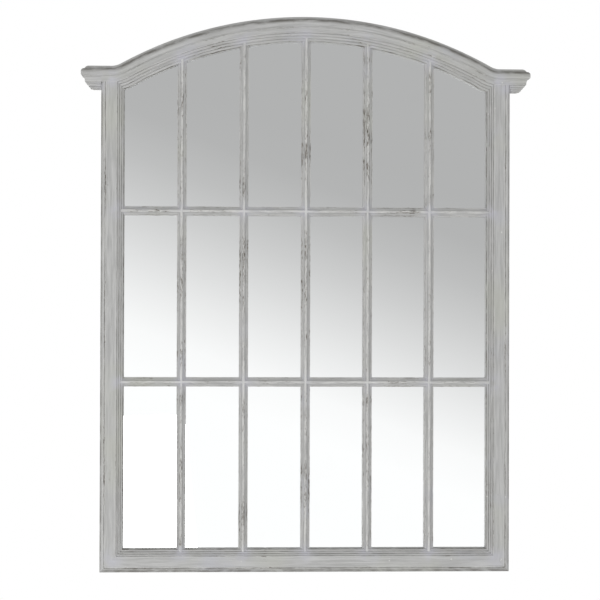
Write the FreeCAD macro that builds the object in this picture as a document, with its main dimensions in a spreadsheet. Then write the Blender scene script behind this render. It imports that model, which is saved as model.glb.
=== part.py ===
import FreeCAD, Part
import math
import os

import Sketcher

# Arched window mirror. X runs to the right, the front faces -Y and Z is up. The plane y = 0 is the
# wall, and the origin lies on it, halfway up the mirror on its centre line.
# A section is written as (depth, projection): depth is measured in from the frame's outer edge, and
# projection forward from the back face of the frame.

SIZES = (
    ("overall_height", "1500", "bottom edge to the top of the arch"),
    ("body_width", "1106", "outer side to outer side of the stiles"),
    ("arch_rise", "137", "top of the arch above the flat tops of the ears"),
    ("ogee_radius", "55", "hollow curve between an ear and the arch, at its outer edge"),
    ("ear_inset", "26", "from a stile's outer side in to where the hollow curve starts"),
    ("stand_off", "7", "gap that the bumpers hold open between the frame and the wall"),
    ("rail_width", "61.5", "width of a stile and of the bottom rail"),
    ("head_width", "66", "width of the moulded head, square to its curve"),
    ("face_projection", "44", "thickness of the frame at its flat face"),
    ("face_hollow", "0.7", "how far the flat face dips in its middle"),
    ("edge_bead", "10.5", "radius of the bead on the frame's outer edge"),
    ("edge_quirk", "2.2", "width of the groove beside that bead"),
    ("quirk_depth", "2.4", "depth of the groove beside that bead"),
    ("reed_width", "5.5", "one of the three reeds of a stile, the bottom rail or an ear"),
    ("head_reed_width", "7", "one of the three reeds of the head"),
    ("reed_top", "40.6", "projection of the outermost reed"),
    ("reed_step", "4.7", "drop from one reed to the next"),
    ("reed_fall", "1.6", "drop across one reed"),
    ("reed_crest", "1.1", "how far a reed's ridge stands over the line between its two edges"),
    ("lip_width", "1.5", "flat lip inside the last reed"),
    ("lip_projection", "24.5", "projection of that lip and of a glazing bar's edge"),
    ("crown_width", "30", "width of the crown moulding"),
    ("crown_seat", "28", "projection of the step that carries the crown moulding"),
    ("crown_top", "36", "projection of the crown moulding at its top edge"),
    ("crown_arris_width", "2.6", "width of the steep arris at the top of the crown moulding"),
    ("crown_arris", "41", "projection at the foot of that arris"),
    ("bevel_width", "6", "width of the weathered bevel under the arris"),
    ("bevel_projection", "45.5", "projection at the end of the bevel"),
    ("bevel_step", "2.5", "small step between the bevel and the ovolo"),
    ("ovolo_width", "7.4", "width of the ovolo that rises to the nose"),
    ("nose_projection", "54", "projection of the crown moulding's flat nose"),
    ("nose_width", "8", "width of the flat nose"),
    ("ovolo_swell", "1.2", "how far the ovolo stands over its chord"),
    ("nose_round", "4", "width of the round under the nose"),
    ("nose_drop", "3.6", "drop of that round"),
    ("nose_swell", "0.8", "how far that round stands over its chord"),
    ("crown_foot", "48.2", "projection of the crown moulding at its lower edge"),
    ("head_face", "46.6", "projection of the head's face beside the crown moulding"),
    ("column_count", "6", "columns of panes"),
    ("bar_width", "24.7", "width of a glazing bar"),
    ("row_height", "437.5", "visible height of a full row of panes"),
    ("bar_fillet", "3.1", "flat strip along each edge of a glazing bar"),
    ("bar_step", "1.8", "small step up from that strip"),
    ("bar_ridge", "3.7", "half width of a glazing bar's rounded ridge"),
    ("bar_shoulder", "33.2", "projection of the foot of that ridge"),
    ("bar_quirk", "1.6", "height of the small step at the foot of the ridge"),
    ("bar_hollow", "0.5", "how deep the cove beside the ridge is"),
    ("bar_crest", "34.6", "projection of the top of that ridge"),
    ("bar_lap", "17", "projection at which crossing bars are halved into each other"),
    ("stem_width", "7", "web of a glazing bar between two panes"),
    ("glass_thickness", "4", "mirror pane"),
    ("glass_rebate", "10", "width of the rebate that the panes lie in"),
    ("glass_clearance", "1", "gap round the edge of a pane"),
    ("board_thickness", "6", "backing board"),
    ("board_rebate", "24", "width of the rebate that the board lies in"),
    ("board_clearance", "1", "gap round the edge of the board"),
    ("tenon_length", "26", "tenon of the head in a stile"),
    ("tenon_thickness", "10", "thickness of that tenon"),
    ("tenon_back", "14", "projection of that tenon's back face"),
    ("tenon_height", "24", "height of that tenon"),
    ("tenon_shoulder", "10", "from the end of the reeds' mitre up to that tenon"),
    ("spline_length", "52", "loose spline across a bottom mitre"),
    ("spline_width", "26", "width of that spline, half of it in each piece"),
    ("spline_thickness", "5", "thickness of that spline"),
    ("spline_back", "17", "projection of that spline's back face"),
    ("staple_wire", "1.2", "square wire of the staples that hold the backing board"),
    ("staple_width", "11", "staple, over both legs"),
    ("staple_length", "15", "staple, from its crown to its tips"),
    ("side_staple_count", "5", "staples along each stile"),
    ("bottom_staple_count", "5", "staples along the bottom rail"),
    ("arch_staple_count", "6", "staples along the head"),
    ("hanger_height", "1180", "ring axis above the bottom edge"),
    ("strap_width", "14", "hanger strap"),
    ("strap_length", "54", "hanger strap, from the ring axis to its lower end"),
    ("strap_thickness", "1.2", "hanger strap"),
    ("knuckle_wall", "1.5", "wall of the loop that holds the ring"),
    ("knuckle_clearance", "0.1", "play of the ring in that loop, all round"),
    ("ring_wire", "1.75", "radius of the ring's wire"),
    ("ring_width", "24.5", "width of the ring between the middles of its legs"),
    ("ring_height", "20", "ring, from its axis to the middle of its lower wire"),
    ("strap_chamfer", "4", "cut-off corners at the strap's lower end"),
    ("ring_corner", "6", "slanting stretch between the ring's legs and its bow, each way"),
    ("screw_sides", "12", "facets round a screw"),
    ("strap_screw_first", "30", "first strap screw, below the ring axis"),
    ("strap_screw_pitch", "14", "between the two strap screws"),
    ("strap_screw_radius", "2", "shank of a strap screw"),
    ("strap_screw_length", "22", "strap screw under its head"),
    ("strap_screw_head", "3.6", "head radius of a strap screw"),
    ("strap_screw_rise", "2.3", "head height of a strap screw"),
    ("bumper_width", "24", "felt bumper"),
    ("bumper_height", "36", "felt bumper"),
    ("bumper_low", "70", "lower bumpers above the bottom edge"),
    ("bumper_drop", "150", "ring axis down to the upper bumpers"),
)

DERIVED = (
    ("top_level", "Sizes.overall_height / 2"),
    ("ear_level", "Derived.top_level - Sizes.arch_rise"),
    ("side", "Sizes.body_width / 2"),
    ("sight_side", "Derived.side - Sizes.rail_width"),
    ("sight_bottom", "Sizes.rail_width - Derived.top_level"),
    ("ogee_x", "Derived.side - Sizes.ear_inset"),
    ("ogee_level", "Derived.ear_level + Sizes.ogee_radius"),
    ("both_radii", "(Derived.ogee_x ^ 2 + Sizes.arch_rise ^ 2) / (2 * Sizes.arch_rise)"),
    ("arch_radius", "Derived.both_radii - Sizes.ogee_radius"),
    ("arch_level", "Derived.top_level - Derived.arch_radius"),
    ("lean_sine", "Derived.ogee_x / Derived.both_radii"),
    ("lean_cosine", "sqrt(1 - Derived.lean_sine ^ 2)"),
    ("lean", "asin(Derived.lean_sine) / 1 deg"),
    ("face_end", "Sizes.rail_width - Sizes.lip_width - 3 * Sizes.reed_width"),
    ("head_face_end", "Sizes.head_width - Sizes.lip_width - 3 * Sizes.head_reed_width"),
    ("ear_height", "Derived.head_face_end + 3 * Sizes.reed_width + Sizes.lip_width"),
    ("glass_front", "Sizes.board_thickness + Sizes.glass_thickness"),
    ("mitre_x", "Derived.side - Derived.face_end"),
    ("corner_level", "Derived.ogee_level - sqrt((Sizes.ogee_radius + Sizes.head_width) ^ 2"
                     " - (Derived.ogee_x - Derived.sight_side) ^ 2)"),
    ("mitre_level", "Derived.ogee_level - sqrt((Sizes.ogee_radius + Derived.head_face_end) ^ 2"
                    " - (Derived.ogee_x - Derived.mitre_x) ^ 2)"),
    ("column_pitch", "(2 * Derived.sight_side + Sizes.bar_width) / Sizes.column_count"),
    ("half_bar", "Sizes.bar_width / 2"),
    ("lower_bar", "Derived.sight_bottom + Sizes.row_height + Derived.half_bar"),
    ("upper_bar", "Derived.lower_bar + Sizes.bar_width + Sizes.row_height"),
    ("hanger_x", "Derived.side - (Sizes.rail_width - Sizes.board_rebate) / 2"),
    ("hanger_level", "Sizes.hanger_height - Derived.top_level"),
    ("ring_back", "Sizes.ring_wire + Sizes.knuckle_clearance + Sizes.knuckle_wall"),
)

# Room by which a cutting shape runs past what it cuts.
SPARE = 40

doc = FreeCAD.newDocument("arched_window_mirror")
sheet = doc.addObject("Spreadsheet::Sheet", "Sizes")
for row, (alias, number, meaning) in enumerate(SIZES, start=1):
    sheet.set(f"A{row}", meaning)
    sheet.set(f"B{row}", number)
    sheet.setAlias(f"B{row}", alias)
doc.recompute()
derived = doc.addObject("App::VarSet", "Derived")
for name, formula in DERIVED:
    derived.addProperty("App::PropertyFloat", name)
    derived.setExpression(name, formula)
    doc.recompute()

nodes = []


def value(expression):
    """The number that an expression over the sizes gives."""
    result = sheet.evalExpression(expression)
    return getattr(result, "Value", result)


def keep(thing, label):
    """Name a finished sub-part and put it on the list that is written out."""
    thing.Label = label
    nodes.append(thing)
    return thing


def bind(thing, **expressions):
    """Bind properties of a feature to expressions; a double underscore stands for a dot."""
    for path, expression in expressions.items():
        thing.setExpression(path.replace("__", "."), expression)


def place(thing, x="0", y="0", z="0"):
    """Bind a feature's position."""
    bind(thing, Placement__Base__x=x, Placement__Base__y=y, Placement__Base__z=z)


def forward(projection):
    """The y of a point that lies this far in front of the frame's back face."""
    return f"-(Sizes.stand_off + ({projection}))"


def arc_between(start, end, radius):
    """Arc of less than half a circle; a positive radius turns left on the way from start to end."""
    first, second = (start, end) if radius > 0 else (end, start)
    chord = second - first
    left = FreeCAD.Vector(-chord.y, chord.x, 0).normalize()
    rise = math.sqrt(radius ** 2 - (chord.Length / 2) ** 2)
    centre = (first + second) * 0.5 + left * rise
    begin = math.atan2(first.y - centre.y, first.x - centre.x)
    finish = math.atan2(second.y - centre.y, second.x - centre.x)
    return Part.ArcOfCircle(Part.Circle(centre, FreeCAD.Vector(0, 0, 1), abs(radius)), begin, finish)


def outline(sketch, corners):
    """Draw a closed outline. A corner is (across, up), or (across, up, radius) where an arc leads on
    to the next corner: a positive radius turns left and a negative one right."""
    first = sketch.GeometryCount
    points = [FreeCAD.Vector(value(corner[0]), value(corner[1]), 0) for corner in corners]
    ends = []
    for index, corner in enumerate(corners):
        start, end = points[index], points[(index + 1) % len(corners)]
        turn = value(corner[2]) if len(corner) == 3 else 0
        edge = arc_between(start, end, turn) if turn else Part.LineSegment(start, end)
        sketch.addGeometry(edge, False)
        ends.append((2, 1) if turn < 0 else (1, 2))
    for index, corner in enumerate(corners):
        edge = first + index
        following = (index + 1) % len(corners)
        start, end = ends[index]
        join = Sketcher.Constraint("Coincident", edge, end, first + following, ends[following][0])
        sketch.addConstraint(join)
        across = sketch.addConstraint(Sketcher.Constraint("DistanceX", -1, 1, edge, start, points[index].x))
        sketch.setExpression(f"Constraints[{across}]", corner[0])
        up = sketch.addConstraint(Sketcher.Constraint("DistanceY", -1, 1, edge, start, points[index].y))
        sketch.setExpression(f"Constraints[{up}]", corner[1])
        if len(corner) == 3:
            radius = f"abs({corner[2]})"
            bend = sketch.addConstraint(Sketcher.Constraint("Radius", edge, value(radius)))
            sketch.setExpression(f"Constraints[{bend}]", radius)


def axis_line(sketch, level):
    """Add a construction line along the wall's normal at a level, to turn a section about."""
    line = Part.LineSegment(FreeCAD.Vector(0, value(level), 0), FreeCAD.Vector(-SPARE, value(level), 0))
    index = sketch.addGeometry(line, True)
    sketch.addConstraint(Sketcher.Constraint("PointOnObject", index, 1, -2))
    sketch.addConstraint(Sketcher.Constraint("Horizontal", index))
    height = sketch.addConstraint(Sketcher.Constraint("DistanceY", -1, 1, index, 1, value(level)))
    sketch.setExpression(f"Constraints[{height}]", level)
    sketch.addConstraint(Sketcher.Constraint("DistanceX", index, 2, index, 1, SPARE))


def body_named(name):
    """A new body."""
    return doc.addObject("PartDesign::Body", name)


def sketch_on(body, name, role, offset="0"):
    """A sketch on one of a body's own planes, moved along the plane's normal by an expression."""
    sketch = body.newObject("Sketcher::SketchObject", name)
    plane = next(feature for feature in body.Origin.OriginFeatures if feature.Role == role)
    sketch.AttachmentSupport = [(plane, "")]
    sketch.MapMode = "FlatFace"
    bind(sketch, AttachmentOffset__Base__z=offset)
    return sketch


def pad(body, sketch, length, centred=False):
    """Pad a sketch along its normal, or half to each side of it."""
    feature = body.newObject("PartDesign::Pad", f"{sketch.Name}_pad")
    feature.Profile = sketch
    feature.SideType = "Symmetric" if centred else "One side"
    bind(feature, Length=length)
    doc.recompute()
    return feature


def cut(body, sketch, along_normal):
    """Cut a sketch through all that lies on one side of it."""
    before = body.Shape.Volume
    feature = body.newObject("PartDesign::Pocket", f"{sketch.Name}_cut")
    feature.Profile = sketch
    feature.Type = "ThroughAll"
    feature.Reversed = along_normal
    doc.recompute()
    if not body.Shape.Volume < before:
        raise RuntimeError(f"{feature.Name} cuts nothing")
    return feature


def turn(body, sketch, angle, centred=False, backwards=False):
    """Turn a section about the axis line that was drawn in its sketch."""
    feature = body.newObject("PartDesign::Revolution", f"{sketch.Name}_turn")
    feature.Profile = sketch
    feature.ReferenceAxis = (sketch, ["Axis0"])
    feature.Midplane = centred
    feature.Reversed = backwards
    bind(feature, Angle=angle)
    doc.recompute()
    return feature


def mirror_across_centre(body, features):
    """Repeat features on the other side of the mirror's centre plane."""
    feature = body.newObject("PartDesign::Mirrored", f"{body.Name}_mirrored")
    plane = next(item for item in body.Origin.OriginFeatures if item.Role == "YZ_Plane")
    feature.Originals = features
    feature.MirrorPlane = (plane, [""])
    body.Tip = feature
    doc.recompute()
    return feature


def arc_radius(width, height, sagitta):
    """Expression for the radius of an arc from its chord's two legs and its rise."""
    return f"(({width}) ^ 2 + ({height}) ^ 2) / (8 * ({sagitta})) + ({sagitta}) / 2"


# A section's corner is (depth, projection), or (depth, projection, radius) where an arc leads on to
# the next corner: the radius is positive where the wood is hollow and negative where it is round.

def reeds(start, width):
    """Three stepped, ridged reeds and the lip inside them."""
    corners = []
    for index in range(3):
        edge = f"Sizes.reed_top - {index} * Sizes.reed_step"
        corners.append((f"{start} + {index} * {width}", edge))
        corners.append((f"{start} + ({index} + 1 / 2) * {width}",
                        f"{edge} - Sizes.reed_fall / 2 + Sizes.reed_crest"))
        corners.append((f"{start} + {index + 1} * {width}", f"{edge} - Sizes.reed_fall"))
    last = f"{start} + 3 * {width}"
    corners.append((last, "Sizes.lip_projection"))
    corners.append((f"{last} + Sizes.lip_width", "Sizes.lip_projection"))
    return corners


def crown_front():
    """The crown moulding's front, from its top edge down to its foot."""
    bevel_end = "(Sizes.crown_arris_width + Sizes.bevel_width)"
    nose = f"({bevel_end} + Sizes.ovolo_width)"
    under = f"({nose} + Sizes.nose_width)"
    ovolo_rise = "Sizes.nose_projection - Sizes.bevel_projection - Sizes.bevel_step"
    ovolo = arc_radius("Sizes.ovolo_width", ovolo_rise, "Sizes.ovolo_swell")
    under_round = arc_radius("Sizes.nose_round", "Sizes.nose_drop", "Sizes.nose_swell")
    return [
        ("0", "Sizes.crown_top"),
        ("Sizes.crown_arris_width", "Sizes.crown_arris"),
        (bevel_end, "Sizes.bevel_projection"),
        (bevel_end, "Sizes.bevel_projection + Sizes.bevel_step", f"-({ovolo})"),
        (nose, "Sizes.nose_projection"),
        (under, "Sizes.nose_projection", f"-({under_round})"),
        (f"{under} + Sizes.nose_round", "Sizes.nose_projection - Sizes.nose_drop"),
        ("Sizes.crown_width", "Sizes.crown_foot"),
    ]


def head_cove():
    """Corner where the head's shallow cove starts, under the crown moulding."""
    width = "Derived.head_face_end - Sizes.crown_width"
    fall = "Sizes.head_face - Sizes.face_projection"
    return ("Sizes.crown_width", "Sizes.head_face", arc_radius(width, fall, "Sizes.face_hollow"))


def head_front(reed_width):
    """The front below the crown moulding: a shallow cove and reeds of a given width."""
    foot = ("Derived.head_face_end", "Sizes.face_projection")
    return [head_cove(), foot] + reeds("Derived.head_face_end", reed_width)


def cove_block():
    """The head's cove carried on over the top of a stile, where it stops the edge bead."""
    return [
        ("0", "Sizes.crown_seat"),
        ("0", "Sizes.head_face"),
        head_cove(),
        ("Derived.head_face_end", "Sizes.face_projection"),
        ("Derived.head_face_end", "Sizes.crown_seat"),
    ]


def rail_front():
    """The front of a stile or the bottom rail: edge bead, groove, hollow face and reeds."""
    face_start = "(Sizes.edge_bead + Sizes.edge_quirk)"
    bead_top = "Sizes.face_projection - Sizes.face_hollow"
    hollow = arc_radius(f"Derived.face_end - {face_start}", "0", "Sizes.face_hollow")
    return [
        ("0", "0"),
        ("0", f"{bead_top} - Sizes.edge_bead", "-Sizes.edge_bead"),
        ("Sizes.edge_bead", bead_top),
        ("Sizes.edge_bead + Sizes.edge_quirk / 2", "Sizes.face_projection - Sizes.quirk_depth"),
        (face_start, "Sizes.face_projection", hollow),
        ("Derived.face_end", "Sizes.face_projection"),
    ] + reeds("Derived.face_end", "Sizes.reed_width") + [("Sizes.rail_width", "0")]


def placed(section, across, up, flip):
    """Put a section into a sketch: across and up turn (depth, projection) into its two axes, and
    flip tells that this mirrors the section, which turns its arcs the other way."""
    corners = []
    for corner in section:
        spot = (across(corner[0], corner[1]), up(corner[0], corner[1]))
        if len(corner) == 3:
            bend = f"-({corner[2]})" if flip else corner[2]
            spot = spot + (bend,)
        corners.append(spot)
    return corners


def section_under(top):
    """Section in the plane across a rail: its outer edge lies at the top level."""
    return (lambda depth, projection: forward(projection),
            lambda depth, projection: f"{top} - ({depth})")


def arch_point(side, depth):
    """Where the hollow curve meets the arch, at a depth from the outer edge."""
    radius = f"(Sizes.ogee_radius + ({depth}))"
    return (f"{side} * (Derived.ogee_x - {radius} * Derived.lean_sine)",
            f"Derived.ogee_level - {radius} * Derived.lean_cosine")


def arched_outline(sketch, offset):
    """Outline of the glazed opening, grown by an offset on every side."""
    depth = f"(Sizes.head_width - ({offset}))"
    hollow = f"(Sizes.ogee_radius + {depth})"
    reach = f"(Derived.sight_side + {offset})"
    spring = (f"Derived.ogee_level - sqrt({hollow} ^ 2 - (Derived.ogee_x - {reach}) ^ 2)")
    right = arch_point("1", depth)
    left = arch_point("-1", depth)
    foot = f"Derived.sight_bottom - ({offset})"
    outline(sketch, [
        (f"-{reach}", foot),
        (reach, foot),
        (reach, spring, f"-{hollow}"),
        (right[0], right[1], f"Derived.arch_radius - {depth}"),
        (left[0], left[1], f"-{hollow}"),
        (f"-{reach}", spring),
    ])


def cut_rebates(body):
    """Cut the two rebates that the panes and the backing board lie in."""
    glass = sketch_on(body, f"{body.Name}_glass_rebate", "XZ_Plane",
                      "Sizes.stand_off + Derived.glass_front")
    arched_outline(glass, "Sizes.glass_rebate")
    cut(body, glass, False)
    board = sketch_on(body, f"{body.Name}_board_rebate", "XZ_Plane",
                      "Sizes.stand_off + Sizes.board_thickness")
    arched_outline(board, "Sizes.board_rebate")
    cut(body, board, False)


def above_head(sketch, depth):
    """Area of the left corner that lies above a line at a depth from the head's outer edge."""
    far = f"-(Derived.side + {SPARE})"
    sky = f"Derived.top_level + {SPARE}"
    touch = arch_point("-1", depth)
    outline(sketch, [
        (far, f"Derived.ear_level - ({depth})"),
        ("-Derived.ogee_x", f"Derived.ear_level - ({depth})", f"Sizes.ogee_radius + ({depth})"),
        touch,
        (touch[0], sky),
        (far, sky),
    ])


def head_end(side):
    """Area of one corner that the stile fills: beside the mitre of the reeds and the joint above."""
    sky = f"Derived.top_level + {SPARE}"
    far = f"{side} * (Derived.side + {SPARE})"
    return [
        (f"{side} * Derived.sight_side", "Derived.corner_level"),
        (f"{side} * Derived.mitre_x", "Derived.mitre_level"),
        (f"{side} * Derived.mitre_x", sky),
        (far, sky),
        (far, f"Derived.corner_level - {SPARE}"),
        (f"{side} * Derived.sight_side", f"Derived.corner_level - {SPARE}"),
    ]


def make_left_stile():
    """Left stile: it runs up to the crown moulding, and its reeds are mitred at both ends. Its edge
    bead stops under a block that carries the head's cove across to the ear."""
    body = body_named("left_stile")
    section = sketch_on(body, "left_stile_section", "XY_Plane", "-Derived.top_level")
    outline(section, placed(rail_front(), lambda depth, projection: f"{depth} - Derived.side",
                            lambda depth, projection: forward(projection), True))
    pad(body, section, "Sizes.overall_height")
    across, up = section_under("Derived.ear_level")
    block = sketch_on(body, "left_stile_block", "YZ_Plane", "-Derived.side")
    outline(block, placed(cove_block(), across, up, True))
    pad(body, block, "Derived.face_end")
    top = sketch_on(body, "left_stile_top", "XZ_Plane")
    above_head(top, "0")
    cut(body, top, True)
    seat = sketch_on(body, "left_stile_seat", "XZ_Plane", "Sizes.stand_off + Sizes.crown_seat")
    above_head(seat, "Sizes.crown_width")
    cut(body, seat, True)
    joint = sketch_on(body, "left_stile_joint", "XZ_Plane")
    sky = f"Derived.top_level + {SPARE}"
    outline(joint, [
        ("-Derived.sight_side", "Derived.corner_level"),
        (f"-Derived.sight_side + {SPARE}", "Derived.corner_level"),
        (f"-Derived.sight_side + {SPARE}", sky),
        ("-Derived.mitre_x", sky),
        ("-Derived.mitre_x", "Derived.mitre_level"),
    ])
    cut(body, joint, True)
    mitre = sketch_on(body, "left_stile_mitre", "XZ_Plane")
    outline(mitre, [
        (f"-Derived.side - {SPARE}", f"-Derived.top_level - {SPARE}"),
        (f"-Derived.sight_side + {SPARE}", f"-Derived.top_level - {SPARE}"),
        (f"-Derived.sight_side + {SPARE}", f"Derived.sight_bottom + {SPARE}"),
    ])
    cut(body, mitre, True)
    cut_rebates(body)
    slot(body, "left_stile_mortise", tenon("-1"), "Sizes.tenon_back", "Sizes.tenon_thickness")
    slot(body, "left_stile_slot", spline("-1"), "Sizes.spline_back", "Sizes.spline_thickness")
    return body


def make_bottom_rail():
    """Bottom rail, mitred to both stiles."""
    body = body_named("bottom_rail_blank")
    section = sketch_on(body, "bottom_rail_section", "YZ_Plane")
    outline(section, placed(rail_front(), lambda depth, projection: forward(projection),
                            lambda depth, projection: f"{depth} - Derived.top_level", False))
    pad(body, section, "Sizes.body_width", centred=True)
    for side, word in (("-1", "left"), ("1", "right")):
        mitre = sketch_on(body, f"bottom_mitre_{word}", "XZ_Plane")
        outline(mitre, [
            (f"{side} * (Derived.side + {SPARE})", f"-Derived.top_level - {SPARE}"),
            (f"{side} * (Derived.sight_side - {SPARE})", f"Derived.sight_bottom + {SPARE}"),
            (f"{side} * (Derived.side + {SPARE})", f"Derived.sight_bottom + {SPARE}"),
        ])
        cut(body, mitre, True)
        slot(body, f"bottom_slot_{word}", spline(side), "Sizes.spline_back", "Sizes.spline_thickness")
    cut_rebates(body)
    return body


def swept_head(body, name, section, flat=False):
    """Sweep a section along the arch and the two hollow curves, and on along the ears' flat tops."""
    across, up = section_under("Derived.top_level")
    arch = sketch_on(body, f"{name}_arch", "YZ_Plane")
    outline(arch, placed(section, across, up, True))
    axis_line(arch, "Derived.arch_level")
    turn(body, arch, "2 * Derived.lean", centred=True)
    across, up = section_under("Derived.ear_level")
    hollow = sketch_on(body, f"{name}_hollow", "YZ_Plane", "-Derived.ogee_x")
    outline(hollow, placed(section, across, up, True))
    axis_line(hollow, "Derived.ogee_level")
    features = [turn(body, hollow, "Derived.lean")]
    if flat:
        run = sketch_on(body, f"{name}_flat", "YZ_Plane", f"-Derived.side - {SPARE} - Sizes.nose_projection")
        outline(run, placed(section, across, up, True))
        features.append(pad(body, run, f"Sizes.ear_inset + {SPARE} + Sizes.nose_projection"))
    mirror_across_centre(body, features)


def make_head_rail():
    """Arched head between the stiles, with its cove, reeds, rebates and tenons."""
    body = body_named("head_rail_blank")
    section = [("0", "0"), ("0", "Sizes.crown_seat"), ("Sizes.crown_width", "Sizes.crown_seat")]
    section = section + head_front("Sizes.head_reed_width") + [("Sizes.head_width", "0")]
    swept_head(body, "head", section)
    for side, word in (("-1", "left"), ("1", "right")):
        end = sketch_on(body, f"head_end_{word}", "XZ_Plane")
        outline(end, head_end(side))
        cut(body, end, True)
        tongue = sketch_on(body, f"head_tenon_{word}", "XZ_Plane", "Sizes.stand_off + Sizes.tenon_back")
        outline(tongue, tenon(side))
        pad(body, tongue, "Sizes.tenon_thickness")
    cut_rebates(body)
    return body


def make_crown():
    """Crown moulding along the arch and round to the mitres on the ears."""
    body = body_named("crown_moulding")
    section = [("0", "Sizes.crown_seat")] + crown_front() + [("Sizes.crown_width", "Sizes.crown_seat")]
    swept_head(body, "crown", section, flat=True)
    for side, word in (("-1", "left"), ("1", "right")):
        end = sketch_on(body, f"crown_mitre_{word}", "XY_Plane",
                        f"Derived.ear_level - Sizes.crown_width - {SPARE}")
        far = f"Derived.side + 2 * {SPARE} + Sizes.nose_projection"
        reach = f"(Sizes.nose_projection + {SPARE})"
        outline(end, [
            (f"{side} * Derived.side", "-Sizes.stand_off"),
            (f"{side} * (Derived.side + {reach})", f"-Sizes.stand_off - {reach}"),
            (f"{side} * ({far})", f"-Sizes.stand_off - {reach}"),
            (f"{side} * ({far})", "-Sizes.stand_off"),
        ])
        cut(body, end, True)
    return body


def cut_by(name, base, tools):
    """Cut several shapes from one."""
    group = tools[0]
    if len(tools) > 1:
        group = doc.addObject("Part::Compound", f"{name}_tools")
        group.Links = tools
    result = doc.addObject("Part::Cut", name)
    result.Base = base
    result.Tool = group
    doc.recompute()
    return result


def free_sketch(name, rotation):
    """A sketch that belongs to no body, turned into its plane."""
    sketch = doc.addObject("Sketcher::SketchObject", name)
    sketch.Placement = FreeCAD.Placement(FreeCAD.Vector(0, 0, 0), rotation)
    return sketch


ACROSS_X = FreeCAD.Rotation(FreeCAD.Vector(1, 1, 1), 120)
ACROSS_Y = FreeCAD.Rotation(FreeCAD.Vector(1, 0, 0), 90)
ALONG_Y = FreeCAD.Rotation(FreeCAD.Vector(1, 0, 0), -90)


def make_left_ear(crown):
    """Left ear: the whole moulding returned round a corner block, under the crown's mitred end."""
    section = [("0", "0")] + crown_front() + head_front("Sizes.reed_width") + [("Derived.ear_height", "0")]
    across, up = section_under("Derived.ear_level")
    front = free_sketch("ear_front", ACROSS_X)
    outline(front, placed(section, across, up, True))
    bind(front, Placement__Base__x="-Derived.side - Sizes.nose_projection")
    front_run = extruded(front, "Sizes.nose_projection")
    side = free_sketch("ear_side", ACROSS_Y)
    outline(side, placed(section, lambda depth, projection: f"-Derived.side - ({projection})", up, True))
    bind(side, Placement__Base__y="-Sizes.stand_off")
    side_run = extruded(side, "Sizes.nose_projection")
    block = doc.addObject("Part::Common", "ear_block")
    block.Base = front_run
    block.Tool = side_run
    return cut_by("left_ear", block, [crown])


def extruded(sketch, length):
    """Extrude a free sketch along its normal."""
    solid = doc.addObject("Part::Extrusion", f"{sketch.Name}_run")
    solid.Base = sketch
    solid.DirMode = "Normal"
    solid.Solid = True
    bind(solid, LengthFwd=length)
    return solid


def mirrored(source, name):
    """The same piece on the other side of the mirror's centre plane."""
    copy = doc.addObject("Part::Mirroring", name)
    copy.Source = source
    copy.Base = FreeCAD.Vector(0, 0, 0)
    copy.Normal = FreeCAD.Vector(1, 0, 0)
    doc.recompute()
    return copy


def rectangle(left, bottom, right, top):
    """Corners of an upright rectangle."""
    return [(left, bottom), (right, bottom), (right, top), (left, top)]


def tenon(side):
    """Outline of the head's tenon on one side, seen from the front."""
    low = "Derived.mitre_level + Sizes.tenon_shoulder"
    return rectangle(f"{side} * (Derived.mitre_x + Sizes.tenon_length)", low,
                     f"{side} * Derived.mitre_x", f"{low} + Sizes.tenon_height")


def spline(side):
    """Outline of the loose spline across a bottom mitre, seen from the front."""
    middle_x = "(Derived.side - Sizes.rail_width / 2)"
    middle_z = "(Sizes.rail_width / 2 - Derived.top_level)"
    along = "Sizes.spline_length / 2 * sqrt(0.5)"
    over = "Sizes.spline_width / 2 * sqrt(0.5)"
    return [
        (f"{side} * ({middle_x} + {along} + {over})", f"{middle_z} - {along} + {over}"),
        (f"{side} * ({middle_x} + {along} - {over})", f"{middle_z} - {along} - {over}"),
        (f"{side} * ({middle_x} - {along} - {over})", f"{middle_z} + {along} - {over}"),
        (f"{side} * ({middle_x} - {along} + {over})", f"{middle_z} + {along} + {over}"),
    ]


def slot(body, name, corners, back, thickness):
    """Cut a slot between two planes parallel to the wall."""
    sketch = sketch_on(body, name, "XZ_Plane", f"Sizes.stand_off + {back}")
    outline(sketch, corners)
    feature = body.newObject("PartDesign::Pocket", f"{name}_cut")
    feature.Profile = sketch
    feature.Reversed = True
    bind(feature, Length=thickness)
    doc.recompute()


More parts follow.
